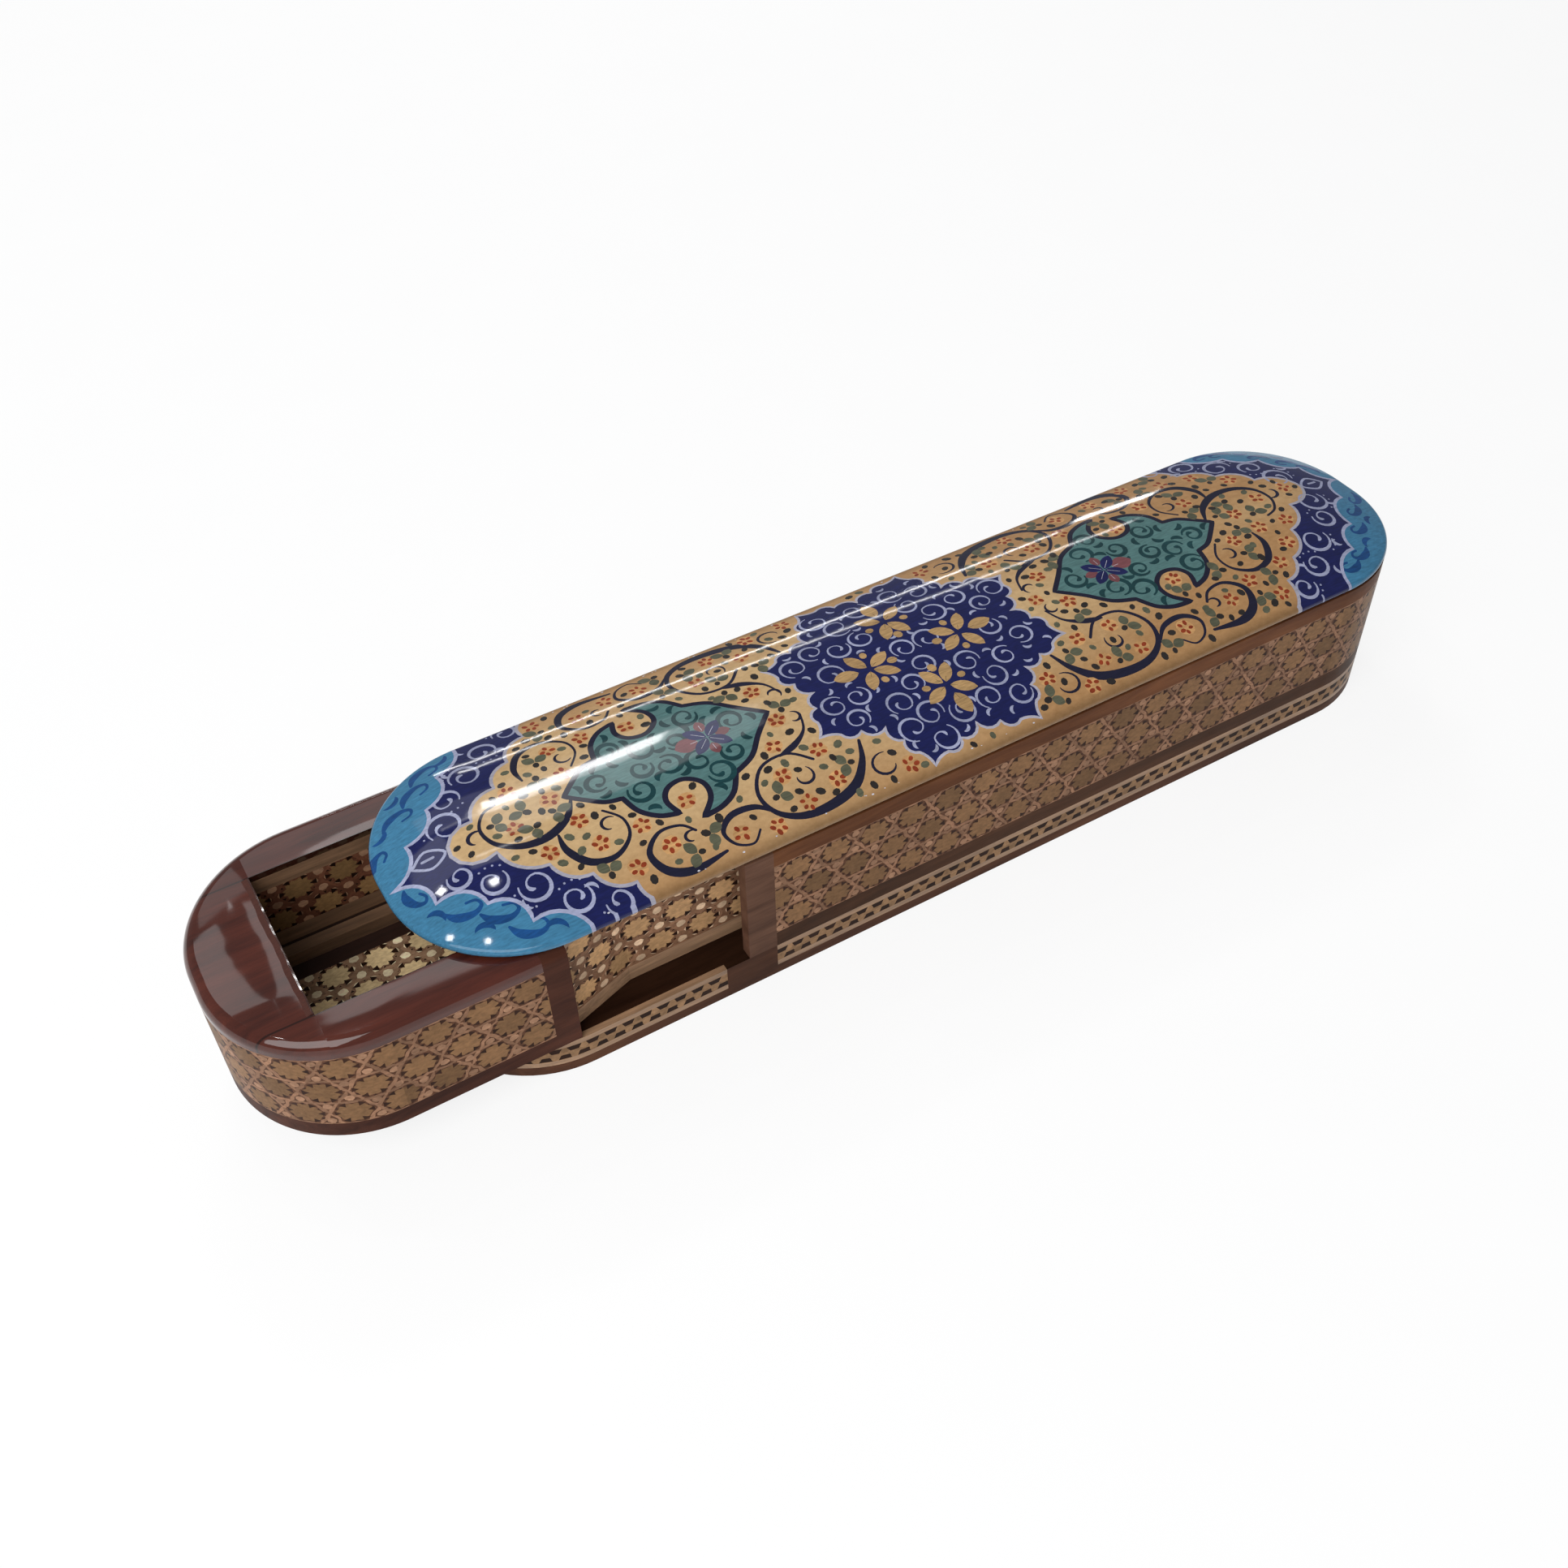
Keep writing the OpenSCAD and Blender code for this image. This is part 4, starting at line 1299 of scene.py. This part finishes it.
def lining_panel(side, sign):
    """Fine khatam on a long side of the channel's lining."""
    node = "lining_khatam_" + side
    low, high = box_mm(node)
    corner = (low.x, low.y, low.z) if sign > 0 else (high.x, high.y, low.z)
    surface = flat_surface(corner, (sign, 0, 0), (0, 0, 1))
    fine_panel(node, surface, high.x - low.x, high.z - low.z, LINING_STAR, palette=SHADED_LINING)


def drawer_panels():
    """Finer khatam on the drawer's narrow sides, lining and floor."""
    for side, sign in (("near", -1), ("far", 1)):
        side_panel(side, sign)
        lining_panel(side, sign)
    low, high = box_mm("floor_khatam")
    surface = flat_surface((low.x, low.y, high.z), (1, 0, 0), (0, 1, 0))
    first = (FLOOR_STAR[0], high.y + FLOOR_STAR[1])
    fine_panel("floor_khatam", surface, high.x - low.x, high.y - low.y, first, palette=LIT_FLOOR)
    for node, edge, along in (("lining_front_panel", 1, 1), ("lining_rear_panel", 0, -1)):
        ends = box_mm(node)
        low, high = ends
        start = low.y if along > 0 else high.y
        surface = flat_surface((ends[edge].x, start, low.z), (0, along, 0), (0, 0, 1))
        fine_panel(node, surface, high.y - low.y, high.z - low.z, LINING_END_STAR, palette=SHADED_LINING)


def bend_place(node, narrow_y):
    """Where the shoulder's veneer bends into the narrow side."""
    corners = [vertex.co for vertex in frame["nodes"][node].data.vertices]
    return min(corner.x / MM for corner in corners if abs(abs(corner.y) / MM - narrow_y) < 0.01)


def lacquer_bead():
    """Thin run of lacquer, not quite even, along the edge of the cap over the channel's front."""
    count = 60
    half = CHANNEL_HALF - 0.2
    points = []
    for i in range(count + 1):
        y = -half + 2 * half * i / count
        sway = 0.035 * math.sin(0.43 * y + 2) + 0.015 * math.sin(1.3 * y + 1)
        crest = (1.9 * sway - 0.34, 0.24 - 0.25 * sway)
        for dx, dz in ((sway, -0.25), (sway, 0.0), crest, (3 * sway - 1.5, -0.02)):
            points.append(Vector((CHANNEL_FRONT + dx, y, cap_high.z + dz)))
    faces = []
    for i in range(count):
        for k in range(4):
            a, b = 4 * i + k, 4 * i + (k + 1) % 4
            faces.append(([a, a + 4, b + 4, b], "lacquer", 0.5, False))
    faces.append(([0, 1, 2, 3], "lacquer", 0.5, False))
    faces.append(([4 * count + k for k in (3, 2, 1, 0)], "lacquer", 0.5, False))
    make_piece("lacquer_bead", points, faces, None, {"lacquer": BEAD_LACQUER}, "drawer")


round_panels()
drawer_panels()
lacquer_bead()

# Camera in millimetres, floor and light in metres

CAMERA_TARGET = Vector((-30.86, 5.61, 13.8))
CAMERA_AZIMUTH, CAMERA_ELEVATION, CAMERA_ROLL = -29.22, 45.35, -1.9
CAMERA_DISTANCE = 356.06
CAMERA_LENS = 37.84
FLOOR_REACH = 6.0


def photo_camera():
    az = math.radians(CAMERA_AZIMUTH)
    el = math.radians(CAMERA_ELEVATION)
    back = Vector((math.sin(az) * math.cos(el), -math.cos(az) * math.cos(el), math.sin(el)))
    turned = (-back).to_track_quat("-Z", "Y").to_matrix().to_4x4()
    roll = Matrix.Rotation(math.radians(CAMERA_ROLL), 4, "Z")
    camera = bpy.data.cameras.new("photo_camera")
    camera.lens = CAMERA_LENS
    camera.sensor_width = 36
    camera.clip_start = 0.01
    camera.clip_end = 50
    holder = add_object("photo_camera", camera)
    holder.matrix_world = Matrix.Translation((CAMERA_TARGET + back * CAMERA_DISTANCE) * MM) @ turned @ roll
    bpy.context.scene.camera = holder
    return holder


def area_light(name, place, target, size, glow, tilt=0.0, shape="RECTANGLE"):
    """A flat lamp; glow is its brightness, tilt turns it in its own plane."""
    lamp = bpy.data.lights.new(name, "AREA")
    lamp.shape = shape
    lamp.size, lamp.size_y = size
    lamp.energy = math.pi * glow * size[0] * size[1] * (math.pi / 4 if shape == "ELLIPSE" else 1)
    holder = add_object(name, lamp)
    place = Vector(place)
    aim = (Vector(target) - place).to_track_quat("-Z", "Y").to_matrix().to_4x4()
    holder.matrix_world = Matrix.Translation(place) @ aim @ Matrix.Rotation(math.radians(tilt), 4, "Z")
    return holder


def make_floor():
    mesh = bpy.data.meshes.new("floor")
    signs = ((-1, -1), (1, -1), (1, 1), (-1, 1))
    mesh.from_pydata([(x * FLOOR_REACH, y * FLOOR_REACH, 0) for x, y in signs], [], [(0, 1, 2, 3)])
    s = Shader("pale_floor", 0.85, 0.2)
    s.finish(s.ramp(s.noise(30.0, 4.0), [(0.3, 0.91), (0.7, 0.94)]))
    ray = s.add("LightPath").outputs
    seen = s.number("MAXIMUM", ray["Is Camera Ray"], ray["Is Glossy Ray"])
    seen = s.number("MAXIMUM", seen, ray["Is Transmission Ray"])
    white = s.add("Emission", {"Color": (1, 1, 1, 1), "Strength": 1.0}).outputs["Emission"]
    share = s.spread(seen, 0.0, 0.84)
    both = s.add("MixShader", {0: share, 1: s.surface.outputs["BSDF"], 2: white}).outputs["Shader"]
    s.set(s.tree.nodes["Material Output"], {"Surface": both})
    mesh.materials.append(s.material)
    return add_object("floor", mesh)


def make_world():
    world = bpy.data.worlds.new("studio")
    bpy.context.scene.world = world
    world.use_nodes = True
    nodes, links = world.node_tree.nodes, world.node_tree.links
    room = nodes["Background"]
    white = nodes.new("ShaderNodeBackground")
    for light, colour, strength in ((room, (0.95, 0.97, 1.0, 1.0), 0.3), (white, (1, 1, 1, 1), 1.0)):
        light.inputs["Color"].default_value = colour
        light.inputs["Strength"].default_value = strength
    mix = nodes.new("ShaderNodeMixShader")
    links.new(nodes.new("ShaderNodeLightPath").outputs["Is Camera Ray"], mix.inputs[0])
    links.new(room.outputs["Background"], mix.inputs[1])
    links.new(white.outputs["Background"], mix.inputs[2])
    links.new(mix.outputs["Shader"], nodes["World Output"].inputs["Surface"])


make_world()
bpy.context.scene.view_settings.view_transform = "Standard"
LID_LEFT = (-0.1, 0, 0.04)
photo_camera()
make_floor()
area_light("key", (-0.55, -0.35, 0.6), (-0.05, 0, 0.03), (0.7, 0.7), 4.1)
area_light("long_tube", (0.365, 1.075, 0.385), (0.365, 0, 0.385), (0.78, 0.010), 26, -6.8)
area_light("high_tube", (0.49, 1.075, 0.558), (0.49, 0, 0.558), (0.9, 0.009), 26, -17.3)
area_light("window", (0.175, 0.880, 0.813), LID_LEFT, (0.23, 0.066), 24)
area_light("window_foot", (0.150, 0.848, 0.846), LID_LEFT, (0.25, 0.046), 7)
area_light("window_glow", (0.17, 0.843, 0.854), LID_LEFT, (0.44, 0.21), 2.4, 0, "ELLIPSE")
area_light("bead_light", (0.422, 0.520, 0.207), (-0.14, 0.520, 0.207), (0.09, 0.016), 26)
area_light("far_card", (0.02, 0.87, 0.72), LID_LEFT, (0.55, 0.2), 0.9)
area_light("far_tube", (-0.02, 0.736, 0.730), (-0.12, 0.024, 0.036), (0.3, 0.016), 4)
area_light("left_card", (-0.32, 0.79, 0.95), LID_LEFT, (0.26, 0.2), 1.7)
area_light("rail_tube", (0.01, 0.70, 0.955), (-0.12, -0.02, 0.04), (0.26, 0.012), 12, 4)
area_light("rail_card", (-0.05, 0.66, 0.99), (-0.12, -0.02, 0.04), (0.24, 0.07), 2.0, -6)
area_light("spot_one", (-0.11, 0.527, 1.113), LID_LEFT, (0.05, 0.05), 60)
area_light("spot_two", (-0.377, 0.648, 1.006), LID_LEFT, (0.05, 0.05), 60)
area_light("spot_three", (-0.316, 0.161, 1.104), LID_LEFT, (0.03, 0.03), 60)
area_light("spot_four", (-0.468, 0.309, 1.027), LID_LEFT, (0.03, 0.03), 60)
